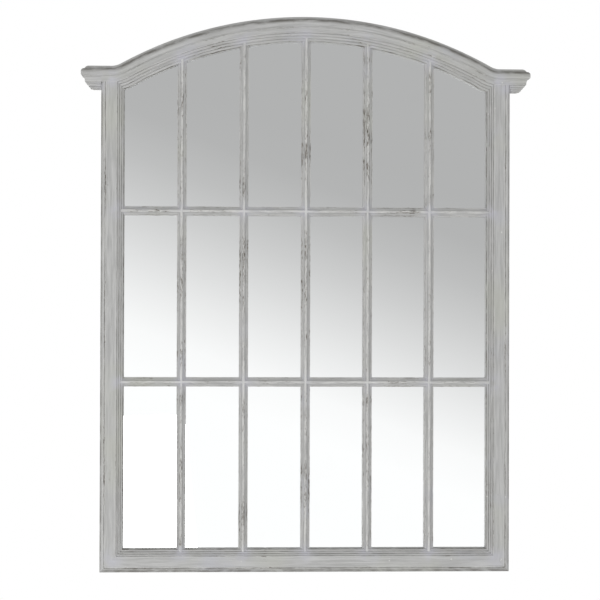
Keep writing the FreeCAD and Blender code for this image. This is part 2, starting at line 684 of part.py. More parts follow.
def bar_section(centre):
    """Section of a glazing bar about its centre line, as (offset, projection[, radius])."""
    edge = "Derived.half_bar"
    inner = "(Derived.half_bar - Sizes.bar_fillet)"
    foot = "Sizes.lip_projection + Sizes.bar_step"
    shoulder = "Sizes.bar_shoulder - Sizes.bar_quirk"
    cove = arc_radius(f"{inner} - Sizes.bar_ridge", f"{shoulder} - ({foot})", "Sizes.bar_hollow")
    ridge = arc_radius("2 * Sizes.bar_ridge", "0", "(Sizes.bar_crest - Sizes.bar_shoulder)")
    stem = "Sizes.stem_width / 2"
    return [
        (f"{centre} - {edge}", "Derived.glass_front"),
        (f"{centre} - {edge}", "Sizes.lip_projection"),
        (f"{centre} - {inner}", "Sizes.lip_projection"),
        (f"{centre} - {inner}", foot, cove),
        (f"{centre} - Sizes.bar_ridge", shoulder),
        (f"{centre} - Sizes.bar_ridge", "Sizes.bar_shoulder", f"-({ridge})"),
        (f"{centre} + Sizes.bar_ridge", "Sizes.bar_shoulder"),
        (f"{centre} + Sizes.bar_ridge", shoulder, cove),
        (f"{centre} + {inner}", foot),
        (f"{centre} + {inner}", "Sizes.lip_projection"),
        (f"{centre} + {edge}", "Sizes.lip_projection"),
        (f"{centre} + {edge}", "Derived.glass_front"),
        (f"{centre} + {stem}", "Derived.glass_front"),
        (f"{centre} + {stem}", "Sizes.board_thickness"),
        (f"{centre} - {stem}", "Sizes.board_thickness"),
        (f"{centre} - {stem}", "Derived.glass_front"),
    ]


def bar_x(index):
    """Centre of an upright glazing bar, counted from 0 at the left."""
    return f"({index + 1} * Derived.column_pitch - Derived.half_bar - Derived.sight_side)"


def make_upright_bar(index, frame):
    """Upright glazing bar, scribed over the frame's reeds and notched behind where bars cross."""
    body = body_named(f"upright_bar_{index + 1}")
    section = sketch_on(body, f"{body.Name}_section", "XY_Plane", "Derived.face_end - Derived.top_level")
    outline(section, placed(bar_section(bar_x(index)), lambda offset, projection: offset,
                            lambda offset, projection: forward(projection), True))
    reach = "(Derived.arch_radius - Derived.head_face_end)"
    top = f"Derived.arch_level + sqrt({reach} ^ 2 - {bar_x(index)} ^ 2)"
    pad(body, section, f"{top} - Derived.face_end + Derived.top_level")
    for word, level in (("lower", "Derived.lower_bar"), ("upper", "Derived.upper_bar")):
        notch = sketch_on(body, f"{body.Name}_{word}_notch", "XZ_Plane",
                          "Sizes.stand_off + Sizes.bar_lap")
        outline(notch, rectangle(f"{bar_x(index)} - Sizes.bar_width", f"{level} - Derived.half_bar",
                                 f"{bar_x(index)} + Sizes.bar_width", f"{level} + Derived.half_bar"))
        cut(body, notch, False)
    return cut_by(f"glazing_bar_upright_{index + 1}", body, frame)


def make_cross_bar(name, level, crossed):
    """Level glazing bar, scribed over the stiles' reeds and over the upright bars."""
    body = body_named(f"{name}_blank")
    section = sketch_on(body, f"{name}_section", "YZ_Plane")
    outline(section, placed(bar_section(level), lambda offset, projection: forward(projection),
                            lambda offset, projection: offset, False))
    pad(body, section, "2 * Derived.mitre_x", centred=True)
    return cut_by(name, body, crossed)


def pane_sides(column, columns):
    """Left and right edges of a column of panes."""
    edge = "(Derived.sight_side + Sizes.glass_rebate - Sizes.glass_clearance)"
    gap = "Sizes.stem_width / 2 + Sizes.glass_clearance"
    left = f"-{edge}" if column == 0 else f"{bar_x(column - 1)} + {gap}"
    right = edge if column == columns - 1 else f"{bar_x(column)} - ({gap})"
    return left, right


def make_pane(name, sides, bottom, top):
    """Rectangular pane, lying between the backing board and the rebates."""
    pane = doc.addObject("Part::Box", name)
    left, right = sides
    place(pane, left, forward("Derived.glass_front"), bottom)
    bind(pane, Length=f"{right} - ({left})", Width="Sizes.glass_thickness", Height=f"{top} - ({bottom})")
    return pane


def make_panes():
    """Two rows of rectangular panes and a top row cut to the arch."""
    columns = int(value("Sizes.column_count"))
    gap = "(Sizes.stem_width / 2 + Sizes.glass_clearance)"
    margin = "Sizes.glass_rebate - Sizes.glass_clearance"
    arch = free_sketch("pane_arch", ACROSS_Y)
    arched_outline(arch, margin)
    bind(arch, Placement__Base__y=forward("Sizes.board_thickness"))
    sheet_glass = extruded(arch, "Sizes.glass_thickness")
    for column in range(columns):
        sides = pane_sides(column, columns)
        low = make_pane(f"pane_bottom_{column + 1}", sides, f"Derived.sight_bottom - ({margin})",
                        f"Derived.lower_bar - {gap}")
        keep(low, low.Name)
        middle = make_pane(f"pane_middle_{column + 1}", sides, f"Derived.lower_bar + {gap}",
                           f"Derived.upper_bar - {gap}")
        keep(middle, middle.Name)
        blank = make_pane(f"pane_blank_{column + 1}", sides, f"Derived.upper_bar + {gap}",
                          "Derived.top_level")
        top = doc.addObject("Part::Common", f"pane_top_{column + 1}")
        top.Base = blank
        top.Tool = sheet_glass
        keep(top, top.Name)


def staple(spot, lean):
    """A staple whose crown lies flat on the backing board, turned by lean in the wall's plane."""
    wire = value("Sizes.staple_wire")
    width = value("Sizes.staple_width")
    length = value("Sizes.staple_length")
    back = value(forward("0"))
    corners = [(-width / 2, back + wire), (width / 2, back + wire), (width / 2, back - length),
               (width / 2 - wire, back - length), (width / 2 - wire, back),
               (wire - width / 2, back), (wire - width / 2, back - length), (-width / 2, back - length)]
    points = [FreeCAD.Vector(across, y, -wire / 2) for across, y in corners]
    solid = Part.Face(Part.makePolygon(points + points[:1])).extrude(FreeCAD.Vector(0, 0, wire))
    solid.Placement = FreeCAD.Placement(spot, FreeCAD.Rotation(FreeCAD.Vector(0, 1, 0), lean))
    return solid


def make_staples():
    """Staples all round the backing board, midway across the shoulder of its rebate."""
    inset = (value("Sizes.board_rebate") + value("Sizes.glass_rebate")) / 2
    side = value("Derived.sight_side") + inset
    bottom = value("Derived.sight_bottom") - inset
    radius = value("Derived.arch_radius") - value("Sizes.head_width") + inset
    solids = []
    rows = int(value("Sizes.side_staple_count"))
    low = value("Derived.sight_bottom")
    rise = value("Derived.corner_level") - low
    for index in range(rows):
        level = low + rise * (index + 0.5) / rows
        solids.append(staple(FreeCAD.Vector(-side, 0, level), 90))
        solids.append(staple(FreeCAD.Vector(side, 0, level), 90))
    count = int(value("Sizes.bottom_staple_count"))
    for index in range(count):
        solids.append(staple(FreeCAD.Vector(side * (2 * (index + 0.5) / count - 1), 0, bottom), 0))
    count = int(value("Sizes.arch_staple_count"))
    for index in range(count):
        lean = value("Derived.lean") * (2 * (index + 0.5) / count - 1)
        across = radius * math.sin(math.radians(lean))
        up = value("Derived.arch_level") + radius * math.cos(math.radians(lean))
        solids.append(staple(FreeCAD.Vector(across, 0, up), lean))
    staples = doc.addObject("Part::Feature", "staples")
    staples.Shape = Part.makeCompound(solids)
    return staples


def screw_cylinder(name, side, back, level, radius, length):
    """Part of a screw: a many-sided bar along the wall's normal."""
    bar = doc.addObject("Part::Prism", name)
    bar.Placement = FreeCAD.Placement(FreeCAD.Vector(0, 0, 0), ALONG_Y)
    place(bar, f"{side} * Derived.hanger_x", back, level)
    bind(bar, Polygon="Sizes.screw_sides", Circumradius=radius, Height=length)
    return bar


def make_strap_screw(word, side, index):
    """One pan-headed screw of a hanger strap, driven towards the front."""
    name = f"{word}_screw_{index + 1}"
    level = f"Derived.hanger_level - Sizes.strap_screw_first - {index} * Sizes.strap_screw_pitch"
    under_head = f"{forward('0')} + Sizes.strap_thickness"
    screw = doc.addObject("Part::Fuse", name)
    screw.Base = screw_cylinder(f"{name}_shank", side, f"{under_head} - Sizes.strap_screw_length", level,
                                "Sizes.strap_screw_radius", "Sizes.strap_screw_length")
    screw.Tool = screw_cylinder(f"{name}_head", side, under_head, level,
                                "Sizes.strap_screw_head", "Sizes.strap_screw_rise")
    return screw


def make_strap_screws():
    """The two screws of each hanger strap, as one group."""
    group = doc.addObject("Part::Compound", "strap_screws")
    group.Links = [make_strap_screw(word, side, index)
                   for side, word in (("-1", "left"), ("1", "right")) for index in range(2)]
    doc.recompute()
    return group


def make_board():
    """Backing board, flush with the back of the frame."""
    body = body_named("board_blank")
    sketch = sketch_on(body, "board_outline", "XZ_Plane", "Sizes.stand_off")
    arched_outline(sketch, "Sizes.board_rebate - Sizes.board_clearance")
    pad(body, sketch, "Sizes.board_thickness")
    return body


def circle(sketch, across, up, radius):
    """Add a circle with its centre and radius bound to expressions."""
    centre = FreeCAD.Vector(value(across), value(up), 0)
    index = sketch.addGeometry(Part.Circle(centre, FreeCAD.Vector(0, 0, 1), value(radius)), False)
    for kind, spot, expression in (("DistanceX", centre.x, across), ("DistanceY", centre.y, up)):
        number = sketch.addConstraint(Sketcher.Constraint(kind, -1, 1, index, 3, spot))
        sketch.setExpression(f"Constraints[{number}]", expression)
    number = sketch.addConstraint(Sketcher.Constraint("Radius", index, value(radius)))
    sketch.setExpression(f"Constraints[{number}]", radius)


def make_strap(screws):
    """Left hanger strap: a plate on the stile's back and the loop that holds the ring."""
    body = body_named("left_strap")
    plate = sketch_on(body, "strap_plate", "XZ_Plane", "Sizes.stand_off - Sizes.strap_thickness")
    half = "Sizes.strap_width / 2"
    end = f"Derived.hanger_level - Sizes.strap_length"
    outline(plate, [
        (f"-Derived.hanger_x + {half}", "Derived.hanger_level"),
        (f"-Derived.hanger_x - {half}", "Derived.hanger_level"),
        (f"-Derived.hanger_x - {half}", f"{end} + Sizes.strap_chamfer"),
        (f"-Derived.hanger_x - {half} + Sizes.strap_chamfer", end),
        (f"-Derived.hanger_x + {half} - Sizes.strap_chamfer", end),
        (f"-Derived.hanger_x + {half}", f"{end} + Sizes.strap_chamfer"),
    ])
    pad(body, plate, "Sizes.strap_thickness")
    loop = sketch_on(body, "strap_loop", "YZ_Plane", "-Derived.hanger_x")
    axis = f"{forward('0')} + Derived.ring_back"
    circle(loop, axis, "Derived.hanger_level", "Derived.ring_back")
    circle(loop, axis, "Derived.hanger_level", "Sizes.ring_wire + Sizes.knuckle_clearance")
    pad(body, loop, "Sizes.strap_width", centred=True)
    return cut_by("left_hanger_strap", body, [screws])


def ring_side(offset):
    """One side of the ring's bow from its left leg round to its right one, seen from the front: the
    offset is measured out from the middle of its wire."""
    half = f"(Sizes.ring_width / 2 + {offset})"
    top = "Derived.hanger_level + Sizes.ring_wire"
    low = f"(Derived.hanger_level - Sizes.ring_height - ({offset}))"
    corner = f"(Sizes.ring_corner + ({offset}) * (2 - sqrt(2)))"
    return [
        (f"-Derived.hanger_x - {half}", top),
        (f"-Derived.hanger_x - {half}", f"{low} + {corner}"),
        (f"-Derived.hanger_x - {half} + {corner}", low),
        (f"-Derived.hanger_x + {half} - {corner}", low),
        (f"-Derived.hanger_x + {half}", f"{low} + {corner}"),
        (f"-Derived.hanger_x + {half}", top),
    ]


def make_ring():
    """Left hanger ring: a square-edged bow, and a round bar that lies in the strap's loop."""
    body = body_named("left_ring")
    bow = sketch_on(body, "ring_bow", "XZ_Plane",
                    "Sizes.stand_off - Derived.ring_back - Sizes.ring_wire")
    outline(bow, ring_side("Sizes.ring_wire") + ring_side("-Sizes.ring_wire")[::-1])
    pad(body, bow, "2 * Sizes.ring_wire")
    bar = sketch_on(body, "ring_bar", "YZ_Plane", "-Derived.hanger_x")
    circle(bar, f"{forward('0')} + Derived.ring_back", "Derived.hanger_level", "Sizes.ring_wire")
    pad(body, bar, "Sizes.ring_width", centred=True)
    return body


def make_bumper(name, side, level):
    """Felt bumper between a stile and the wall."""
    bumper = doc.addObject("Part::Box", name)
    place(bumper, f"{side} * Derived.hanger_x - Sizes.bumper_width / 2", forward("0"),
          f"{level} - Derived.top_level - Sizes.bumper_height / 2")
    bind(bumper, Length="Sizes.bumper_width", Width="Sizes.stand_off", Height="Sizes.bumper_height")
    return bumper


crown = keep(make_crown(), "crown_moulding")
left_ear = keep(make_left_ear(crown), "ear_left")
keep(mirrored(left_ear, "right_ear"), "ear_right")

staples = keep(make_staples(), "staples")
strap_screws = keep(make_strap_screws(), "hanger_screws")

left_blank = make_left_stile()
right_blank = mirrored(left_blank, "right_stile_blank")
bottom_blank = make_bottom_rail()
head_blank = make_head_rail()
left_stile = keep(cut_by("left_stile_drilled", left_blank, [staples, strap_screws]), "stile_left")
keep(mirrored(left_stile, "right_stile"), "stile_right")
keep(cut_by("bottom_rail", bottom_blank, [staples]), "bottom_rail")
keep(cut_by("head_rail", head_blank, [staples]), "head_rail")
keep(cut_by("board", make_board(), [staples]), "backing_board")
for side, word in (("-1", "left"), ("1", "right")):
    key = free_sketch(f"spline_{word}", ACROSS_Y)
    outline(key, spline(side))
    bind(key, Placement__Base__y=forward("Sizes.spline_back"))
    keep(extruded(key, "Sizes.spline_thickness"), f"mitre_spline_{word}")

uprights = [make_upright_bar(index, [bottom_blank, head_blank])
            for index in range(int(value("Sizes.column_count")) - 1)]
for upright in uprights:
    keep(upright, upright.Name)
for name, level in (("glazing_bar_lower", "Derived.lower_bar"), ("glazing_bar_upper", "Derived.upper_bar")):
    keep(make_cross_bar(name, level, [left_blank, right_blank] + uprights), name)
make_panes()

left_strap = keep(make_strap(strap_screws), "hanger_strap_left")
keep(mirrored(left_strap, "right_hanger_strap"), "hanger_strap_right")
left_ring = keep(make_ring(), "hanger_ring_left")
keep(mirrored(left_ring, "right_ring"), "hanger_ring_right")
for side, word in (("-1", "left"), ("1", "right")):
    keep(make_bumper(f"low_bumper_{word}", side, "Sizes.bumper_low"), f"bumper_lower_{word}")
    keep(make_bumper(f"high_bumper_{word}", side, "Sizes.hanger_height - Sizes.bumper_drop"),
         f"bumper_upper_{word}")

doc.recompute()
for thing in doc.Objects:
    if "Invalid" in thing.State or "Error" in thing.State:
        raise RuntimeError(f"{thing.Name} failed: {thing.State}")
os.makedirs("parts", exist_ok=True)
for node in nodes:
    if node.Shape.isNull() or not node.Shape.isValid():
        raise RuntimeError(f"{node.Label} has no valid shape")
for node in nodes:
    node.Shape.exportStep(f"parts/{node.Label}.step")
    print(node.Label, len(node.Shape.Solids), round(node.Shape.Volume))
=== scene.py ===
"""Looks of the arched window mirror: painted mouldings, glazing bars, mirror panes, back and studio."""

from __future__ import annotations

import logging
import math
from dataclasses import dataclass, field
from enum import Enum
from typing import Callable, Iterable, Sequence

import bmesh
import bpy
from mathutils import Matrix, Vector, noise

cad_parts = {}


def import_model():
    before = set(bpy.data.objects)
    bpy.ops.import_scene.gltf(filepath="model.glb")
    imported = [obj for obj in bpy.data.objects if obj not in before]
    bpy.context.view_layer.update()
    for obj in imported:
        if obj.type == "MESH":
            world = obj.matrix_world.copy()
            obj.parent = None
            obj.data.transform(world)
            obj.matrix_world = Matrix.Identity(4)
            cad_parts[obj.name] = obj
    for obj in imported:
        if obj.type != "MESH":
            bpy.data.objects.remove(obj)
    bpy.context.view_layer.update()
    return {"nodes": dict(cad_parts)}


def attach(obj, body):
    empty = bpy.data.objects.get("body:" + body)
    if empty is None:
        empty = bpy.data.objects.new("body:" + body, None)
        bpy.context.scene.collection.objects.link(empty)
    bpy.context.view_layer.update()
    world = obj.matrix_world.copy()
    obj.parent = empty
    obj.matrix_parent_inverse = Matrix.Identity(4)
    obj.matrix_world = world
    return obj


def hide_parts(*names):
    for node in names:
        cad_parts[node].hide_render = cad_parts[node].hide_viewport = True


LOG = logging.getLogger("mirror")
MM = 0.001
Colour = tuple[float, float, float]


def srgb(red: float, green: float, blue: float) -> Colour:
    """Turn a colour on the 0 to 255 display scale into linear values.

    Args:
        red: Red on the display scale.
        green: Green on the display scale.
        blue: Blue on the display scale.

    Returns:
        The linear colour.
    """
    shares = [channel / 255 for channel in (red, green, blue)]
    return tuple(s / 12.92 if s <= 0.04045 else ((s + 0.055) / 1.055) ** 2.4 for s in shares)


class Side(Enum):
    """Side of the mirror, as a sign along X."""

    LEFT = -1
    RIGHT = 1

    @property
    def word(self) -> str:
        """Lower-case name of the side."""
        return self.name.lower()


@dataclass(frozen=True)
class Plan:
    """Sizes of the mirror in metres. Depth runs in from the outer edge, projection out from the back."""

    top: float = 750 * MM
    side: float = 553 * MM
    arch_rise: float = 137 * MM
    ogee_radius: float = 55 * MM
    ear_inset: float = 26 * MM
    stand_off: float = 7 * MM
    rail_width: float = 61.5 * MM
    head_width: float = 66 * MM
    reed_width: float = 5.5 * MM
    head_reed_width: float = 7 * MM
    face_end: float = 43.5 * MM
    lip_width: float = 1.5 * MM
    crown_width: float = 30 * MM
    crown_seat: float = 28 * MM
    reed_count: int = 3
    glass_rebate: float = 10 * MM
    board_rebate: float = 24 * MM
    bar_width: float = 24.7 * MM
    row_height: float = 437.5 * MM
    columns: int = 6
    glass_front: float = 10 * MM
    board: float = 6 * MM

    @property
    def ear_level(self) -> float:
        """Level of the ears' flat tops."""
        return self.top - self.arch_rise

    @property
    def ear_height(self) -> float:
        """Height of an ear, from its flat top to its soffit."""
        return self.face_end + self.reed_count * self.reed_width + self.lip_width

    @property
    def sight_side(self) -> float:
        """Half width of the glazed opening."""
        return self.side - self.rail_width

    @property
    def sight_bottom(self) -> float:
        """Level of the glazed opening's lower edge."""
        return self.rail_width - self.top

    @property
    def ogee_x(self) -> float:
        """Distance from the centre line to where the hollow curves start."""
        return self.side - self.ear_inset

    @property
    def ogee_level(self) -> float:
        """Level of the hollow curves' centres."""
        return self.ear_level + self.ogee_radius

    @property
    def both_radii(self) -> float:
        """Arch radius and hollow radius together."""
        return (self.ogee_x ** 2 + self.arch_rise ** 2) / (2 * self.arch_rise)

    @property
    def arch_radius(self) -> float:
        """Radius of the arch's outer edge."""
        return self.both_radii - self.ogee_radius

    @property
    def arch_level(self) -> float:
        """Level of the arch's centre."""
        return self.top - self.arch_radius

    @property
    def lean(self) -> float:
        """Angle at which the arch meets the hollow curves."""
        return math.asin(self.ogee_x / self.both_radii)

    @property
    def mitre_x(self) -> float:
        """Distance from the centre line to the outer end of the reeds' mitre at the head."""
        return self.side - self.face_end

    def hollow_level(self, across: float, depth: float) -> float:
        """Level of the hollow curve at a distance from the centre line and a depth from the edge."""
        radius = self.ogee_radius + depth
        return self.ogee_level - math.sqrt(radius ** 2 - (self.ogee_x - across) ** 2)

    def bar_x(self, index: int) -> float:
        """Centre of an upright glazing bar, counted from 0 at the left."""
        pitch = (2 * self.sight_side + self.bar_width) / self.columns
        return (index + 1) * pitch - self.bar_width / 2 - self.sight_side

    @property
    def lower_bar(self) -> float:
        """Centre level of the lower cross bar."""
        return self.sight_bottom + self.row_height + self.bar_width / 2

    @property
    def upper_bar(self) -> float:
        """Centre level of the upper cross bar."""
        return self.lower_bar + self.bar_width + self.row_height


PLAN = Plan()

# Points on a curved stretch of a section, the smallest turn that is rounded, and where on it the points lie.
CURVE_STEPS = 8
ROUNDED_TURN = math.radians(8)
ROUNDING_SHARES = (0.0, 0.33, 0.67, 1.0)
# Turn that counts as a full ridge or hollow, how exposed a crest is, and how far painted shade adds to
# steepness.
FULL_TURN = 0.9
CREST_RIDGE = 0.8
SHADE_BAND_STRENGTH = 2.5
# Width of the strip against the glass that is darkened as the lip's painted shadow.
SHADOWED_LIP = 1.7 * MM
# Distance at which points are merged, length below which an edge goes, and the angle that stays sharp.
WELD = 0.02 * MM
SLIVER = 0.01 * MM
SHARP_EDGE = math.radians(48)
METAL_WELD = 0.005 * MM
SHARP_METAL = math.radians(40)
# Cells in a metre of the wood's unevenness and of its dents, and how strong a dent must be to show.
FINE_SWELL = 38
BROAD_SWELL = 11
DENTS = 120
SWELL_SHIFT = Vector((5, 2, 9))
DENT_SHIFT = Vector((31, 7, 3))
DENT_FLOOR = 0.3


@dataclass(frozen=True)
class Corner:
    """Corner of a section. A bulge curves the line to the next corner: positive is round."""

    depth: float
    projection: float
    bulge: float = 0.0


@dataclass(frozen=True)
class Spot:
    """Point of a finished section: how far round it lies, and how exposed, hollow and steep it is."""

    depth: float
    projection: float
    across: float = 0.0
    ridge: float = 0.0
    hollow: float = 0.0
    steep: float = 0.0


@dataclass(frozen=True)
class Section:
    """Closed section of a moulding, drawn from the back outwards, over the front and back again."""

    corners: tuple[Corner, ...]
    softness: float = 0.55 * MM
    front_step: float = 2.0 * MM
    back_step: float = 7.0 * MM
    front_from: float = 22 * MM
    reach: float = 1.3 * MM
    shown_from: float = 24.2 * MM
    crest: float = 1.0
    # Painted shade: a dark band at a given depth, and a dark strip on the lip at the sight edge.
    shade_band: float = 0.0
    shade_band_at: float = 0.0
    shade_band_reach: float = 3.5 * MM
    lip_from: float = 1.0
    lip_shadow: float = 0.0

    def _arcs(self) -> list[tuple[Vector, bool]]:
        """List the corners with points along the curved stretches.

        Returns:
            Points, and whether each is a true corner rather than part of a curve.
        """
        points: list[tuple[Vector, bool]] = []
        for index, corner in enumerate(self.corners):
            start = Vector((corner.depth, corner.projection))
            following = self.corners[(index + 1) % len(self.corners)]
            end = Vector((following.depth, following.projection))
            points.append((start, True))
            if corner.bulge:
                chord = end - start
                left = Vector((-chord.y, chord.x)).normalized()
                for step in range(1, CURVE_STEPS):
                    share = step / CURVE_STEPS
                    rise = corner.bulge * 4 * share * (1 - share)
                    points.append((start + chord * share + left * rise, False))
        return points

    def _softened(self) -> tuple[list[Vector], list[tuple[Vector, float]]]:
        """Round the true corners.

        Returns:
            The outline, and each corner with its signed turn: positive where the wood stands out.
        """
        points = self._arcs()
        outline: list[Vector] = []
        turns: list[tuple[Vector, float]] = []
        for index, (here, true_corner) in enumerate(points):
            before = points[index - 1][0]
            after = points[(index + 1) % len(points)][0]
            arrive, leave = here - before, after - here
            turn = -math.atan2(arrive.x * leave.y - arrive.y * leave.x, arrive.dot(leave))
            if not true_corner or abs(turn) < ROUNDED_TURN:
                outline.append(here)
                continue
            turns.append((here, turn))
            room = min(self.softness, 0.4 * arrive.length, 0.4 * leave.length)
            first = here - arrive.normalized() * room
            last = here + leave.normalized() * room
            for share in ROUNDING_SHARES:
                outline.append(first.lerp(here, share).lerp(here.lerp(last, share), share))
        return outline, turns

    def spots(self) -> list[Spot]:
        """Work out the finished section.

        Returns:
            The section's points, in order, none twice.
        """
        outline, turns = self._softened()
        dense: list[Vector] = []
        for index, here in enumerate(outline):
            after = outline[(index + 1) % len(outline)]
            shown = min(here.y, after.y) >= self.front_from
            step = self.front_step if shown else self.back_step
            pieces = max(1, math.ceil((after - here).length / step))
            dense.extend(here.lerp(after, piece / pieces) for piece in range(pieces))
        spots: list[Spot] = []
        across = 0.0
        for index, here in enumerate(dense):
            if index:
                across += (here - dense[index - 1]).length
            ridge = hollow = 0.0
            for place, turn in turns:
                near = math.exp(-((here - place).length / self.reach) ** 2) * min(1.0, abs(turn) / FULL_TURN)
                ridge = max(ridge, near if turn > 0 else 0.0)
                hollow = max(hollow, near if turn < 0 else 0.0)
            run = dense[(index + 1) % len(dense)] - dense[index - 1]
            steep = abs(run.y) / max(run.length, 1e-6)
            # Crests count as ridges, so they take the painted highlight as well as the wear.
            ridge = max(ridge, CREST_RIDGE if here.y > self.crest else 0.0)
            # Painted shade: the band and the lip strip add to the steepness, so the glaze darkens there as
            # if in shadow.
            glaze_and_shade_mask = self.shade_band * math.exp(-((here.x - self.shade_band_at) / self.shade_band_reach) ** 2)
            glaze_and_shade_mask += self.lip_shadow if here.x > self.lip_from else 0.0
            steep = math.hypot(steep, math.sqrt(SHADE_BAND_STRENGTH * glaze_and_shade_mask))
            if here.y < self.shown_from:
                hollow = steep = 0.0
            spots.append(Spot(here.x, here.y, across, ridge, hollow, steep))
        return spots


def reeds(start: float, width: float) -> list[Corner]:
    """Corners of the stepped reeds and the lip inside them.

    Args:
        start: Depth at which the reeds start.
        width: Width of one reed.

    Returns:
        The corners, from the outermost reed inwards.
    """
    top, step, fall, crest, lip = 40.6 * MM, 4.7 * MM, 1.6 * MM, 1.15 * MM, 24.5 * MM
    corners: list[Corner] = []
    for index in range(PLAN.reed_count):
        edge = top - index * step
        corners.append(Corner(start + index * width, edge, crest))
        corners.append(Corner(start + (index + 1) * width, edge - fall))
    corners.append(Corner(start + PLAN.reed_count * width, lip))
    corners.append(Corner(start + PLAN.reed_count * width + PLAN.lip_width, lip))
    return corners


def rebated_back(width: float) -> list[Corner]:
    """Corners behind the sight edge: the rebates of the panes and the backing board.

    Args:
        width: Width of the moulding.

    Returns:
        The corners, from the sight edge outwards.
    """
    glass, board = width - PLAN.glass_rebate, width - PLAN.board_rebate
    return [Corner(width, PLAN.glass_front), Corner(glass, PLAN.glass_front),
            Corner(glass, PLAN.board), Corner(board, PLAN.board), Corner(board, 0.0)]


def rail_section(shade_band: float, shade_band_at: float = 0.0) -> Section:
    """Section of a stile or of the bottom rail.

    Args:
        shade_band: How dark the painted shade along the outer edge is.
        shade_band_at: Depth at which the painted shade is darkest.

    Returns:
        The section.
    """
    corners = [Corner(0.0, 0.0), Corner(0.0, 32.8 * MM, 4.35 * MM), Corner(10.5 * MM, 43.3 * MM),
               Corner(11.6 * MM, 41.6 * MM), Corner(12.7 * MM, 44 * MM, -0.7 * MM),
               Corner(PLAN.face_end, 44 * MM)]
    corners += reeds(PLAN.face_end, PLAN.reed_width) + rebated_back(PLAN.rail_width)
    # Painted shade along the outer bead, and painted shadow on the lip at the sight edge.
    return Section(tuple(corners), shade_band=shade_band, shade_band_at=shade_band_at, shade_band_reach=3.5 * MM + shade_band_at / 2,
                   lip_from=PLAN.rail_width - SHADOWED_LIP, lip_shadow=0.9)


CROWN_FRONT = (
    Corner(0.0, 36 * MM), Corner(2.6 * MM, 41 * MM), Corner(8.6 * MM, 45.5 * MM),
    Corner(8.6 * MM, 48 * MM, 1.2 * MM), Corner(16 * MM, 54 * MM), Corner(24 * MM, 54 * MM, 0.8 * MM),
    Corner(28 * MM, 50.4 * MM), Corner(30 * MM, 48.2 * MM),
)


def head_cove() -> list[Corner]:
    """Corners of the shallow cove below the crown moulding."""
    return [Corner(PLAN.crown_width, 46.6 * MM, -0.7 * MM), Corner(PLAN.face_end, 44 * MM)]


def head_front(reed_width: float) -> list[Corner]:
    """Corners of the cove and the reeds below the crown moulding.

    Args:
        reed_width: Width of one reed.

    Returns:
        The corners, from the crown moulding inwards.
    """
    return head_cove() + reeds(PLAN.face_end, reed_width)


def bar_section() -> Section:
    """Section of a glazing bar: depth is measured sideways from its centre line.

    Returns:
        The section.
    """
    edge, inner, ridge, stem = 12.35 * MM, 9.25 * MM, 3.7 * MM, 3.5 * MM
    # The crest above 33.6 mm counts as a ridge and takes the painted highlight.
    return Section((
        Corner(-edge, 10 * MM), Corner(-edge, 24.5 * MM), Corner(-inner, 24.5 * MM),
        Corner(-inner, 26.3 * MM, -0.5 * MM), Corner(-ridge, 31.6 * MM), Corner(-ridge, 33.2 * MM, 1.4 * MM),
        Corner(ridge, 33.2 * MM), Corner(ridge, 31.6 * MM, -0.5 * MM), Corner(inner, 26.3 * MM),
        Corner(inner, 24.5 * MM), Corner(edge, 24.5 * MM), Corner(edge, 10 * MM),
        Corner(stem, 10 * MM), Corner(stem, 6 * MM), Corner(-stem, 6 * MM), Corner(-stem, 10 * MM),
    ), softness=0.45 * MM, front_step=1.6 * MM, crest=33.6 * MM)


PAINT_VALUES = ("along", "across", "ridge", "hollow", "steep", "joint")


def joint_places() -> list[tuple[float, float]]:
    """List where pieces of wood meet: the paint was touched up there.

    Returns:
        The x and z of each joint.
    """
    plan = PLAN
    spots: list[tuple[float, float]] = []
    reach = plan.arch_radius - plan.face_end - 12 * MM
    for index in range(plan.columns - 1):
        x = plan.bar_x(index)
        top = plan.arch_level + math.sqrt(reach ** 2 - x ** 2)
        spots += [(x, level) for level in (plan.lower_bar, plan.upper_bar, plan.sight_bottom - 8 * MM, top)]
    for side in Side:
        stile = side.value * (plan.sight_side + 12 * MM)
        spots += [(stile, plan.lower_bar), (stile, plan.upper_bar)]
        spots += [(side.value * (plan.side - 12 * MM), plan.ear_level - 50 * MM),
                  (side.value * (plan.side - 28 * MM), plan.ear_level - 38 * MM),
                  (side.value * (plan.side - 35 * MM), 35 * MM - plan.top)]
    return spots


JOINTS = joint_places()


def joint_nearness(place: Vector, reach: float = 24 * MM) -> float:
    """How near a point is to a joint.

    Args:
        place: The point.
        reach: Distance at which the effect fades.

    Returns:
        1 at a joint, falling to 0 away from it.
    """
    nearest = min(math.hypot(place.x - x, place.z - z) for x, z in JOINTS)
    return math.exp(-(nearest / reach) ** 2)


def shade(work: bmesh.types.BMesh, sharp: float) -> None:
    """Shade a mesh smooth but for its sharp edges.

    Args:
        work: The mesh being edited.
        sharp: Angle from which an edge is sharp.
    """
    for face in work.faces:
        face.smooth = True
    for edge in work.edges:
        edge.smooth = len(edge.link_faces) == 2 and edge.calc_face_angle(0.0) < sharp


def linked(name: str, data: bpy.types.ID) -> bpy.types.Object:
    """Put a mesh, lamp or camera in a new object of the scene.

    Args:
        name: Name of the object.
        data: What the object holds.

    Returns:
        The object.
    """
    piece = bpy.data.objects.new(name, data)
    bpy.context.collection.objects.link(piece)
    return piece


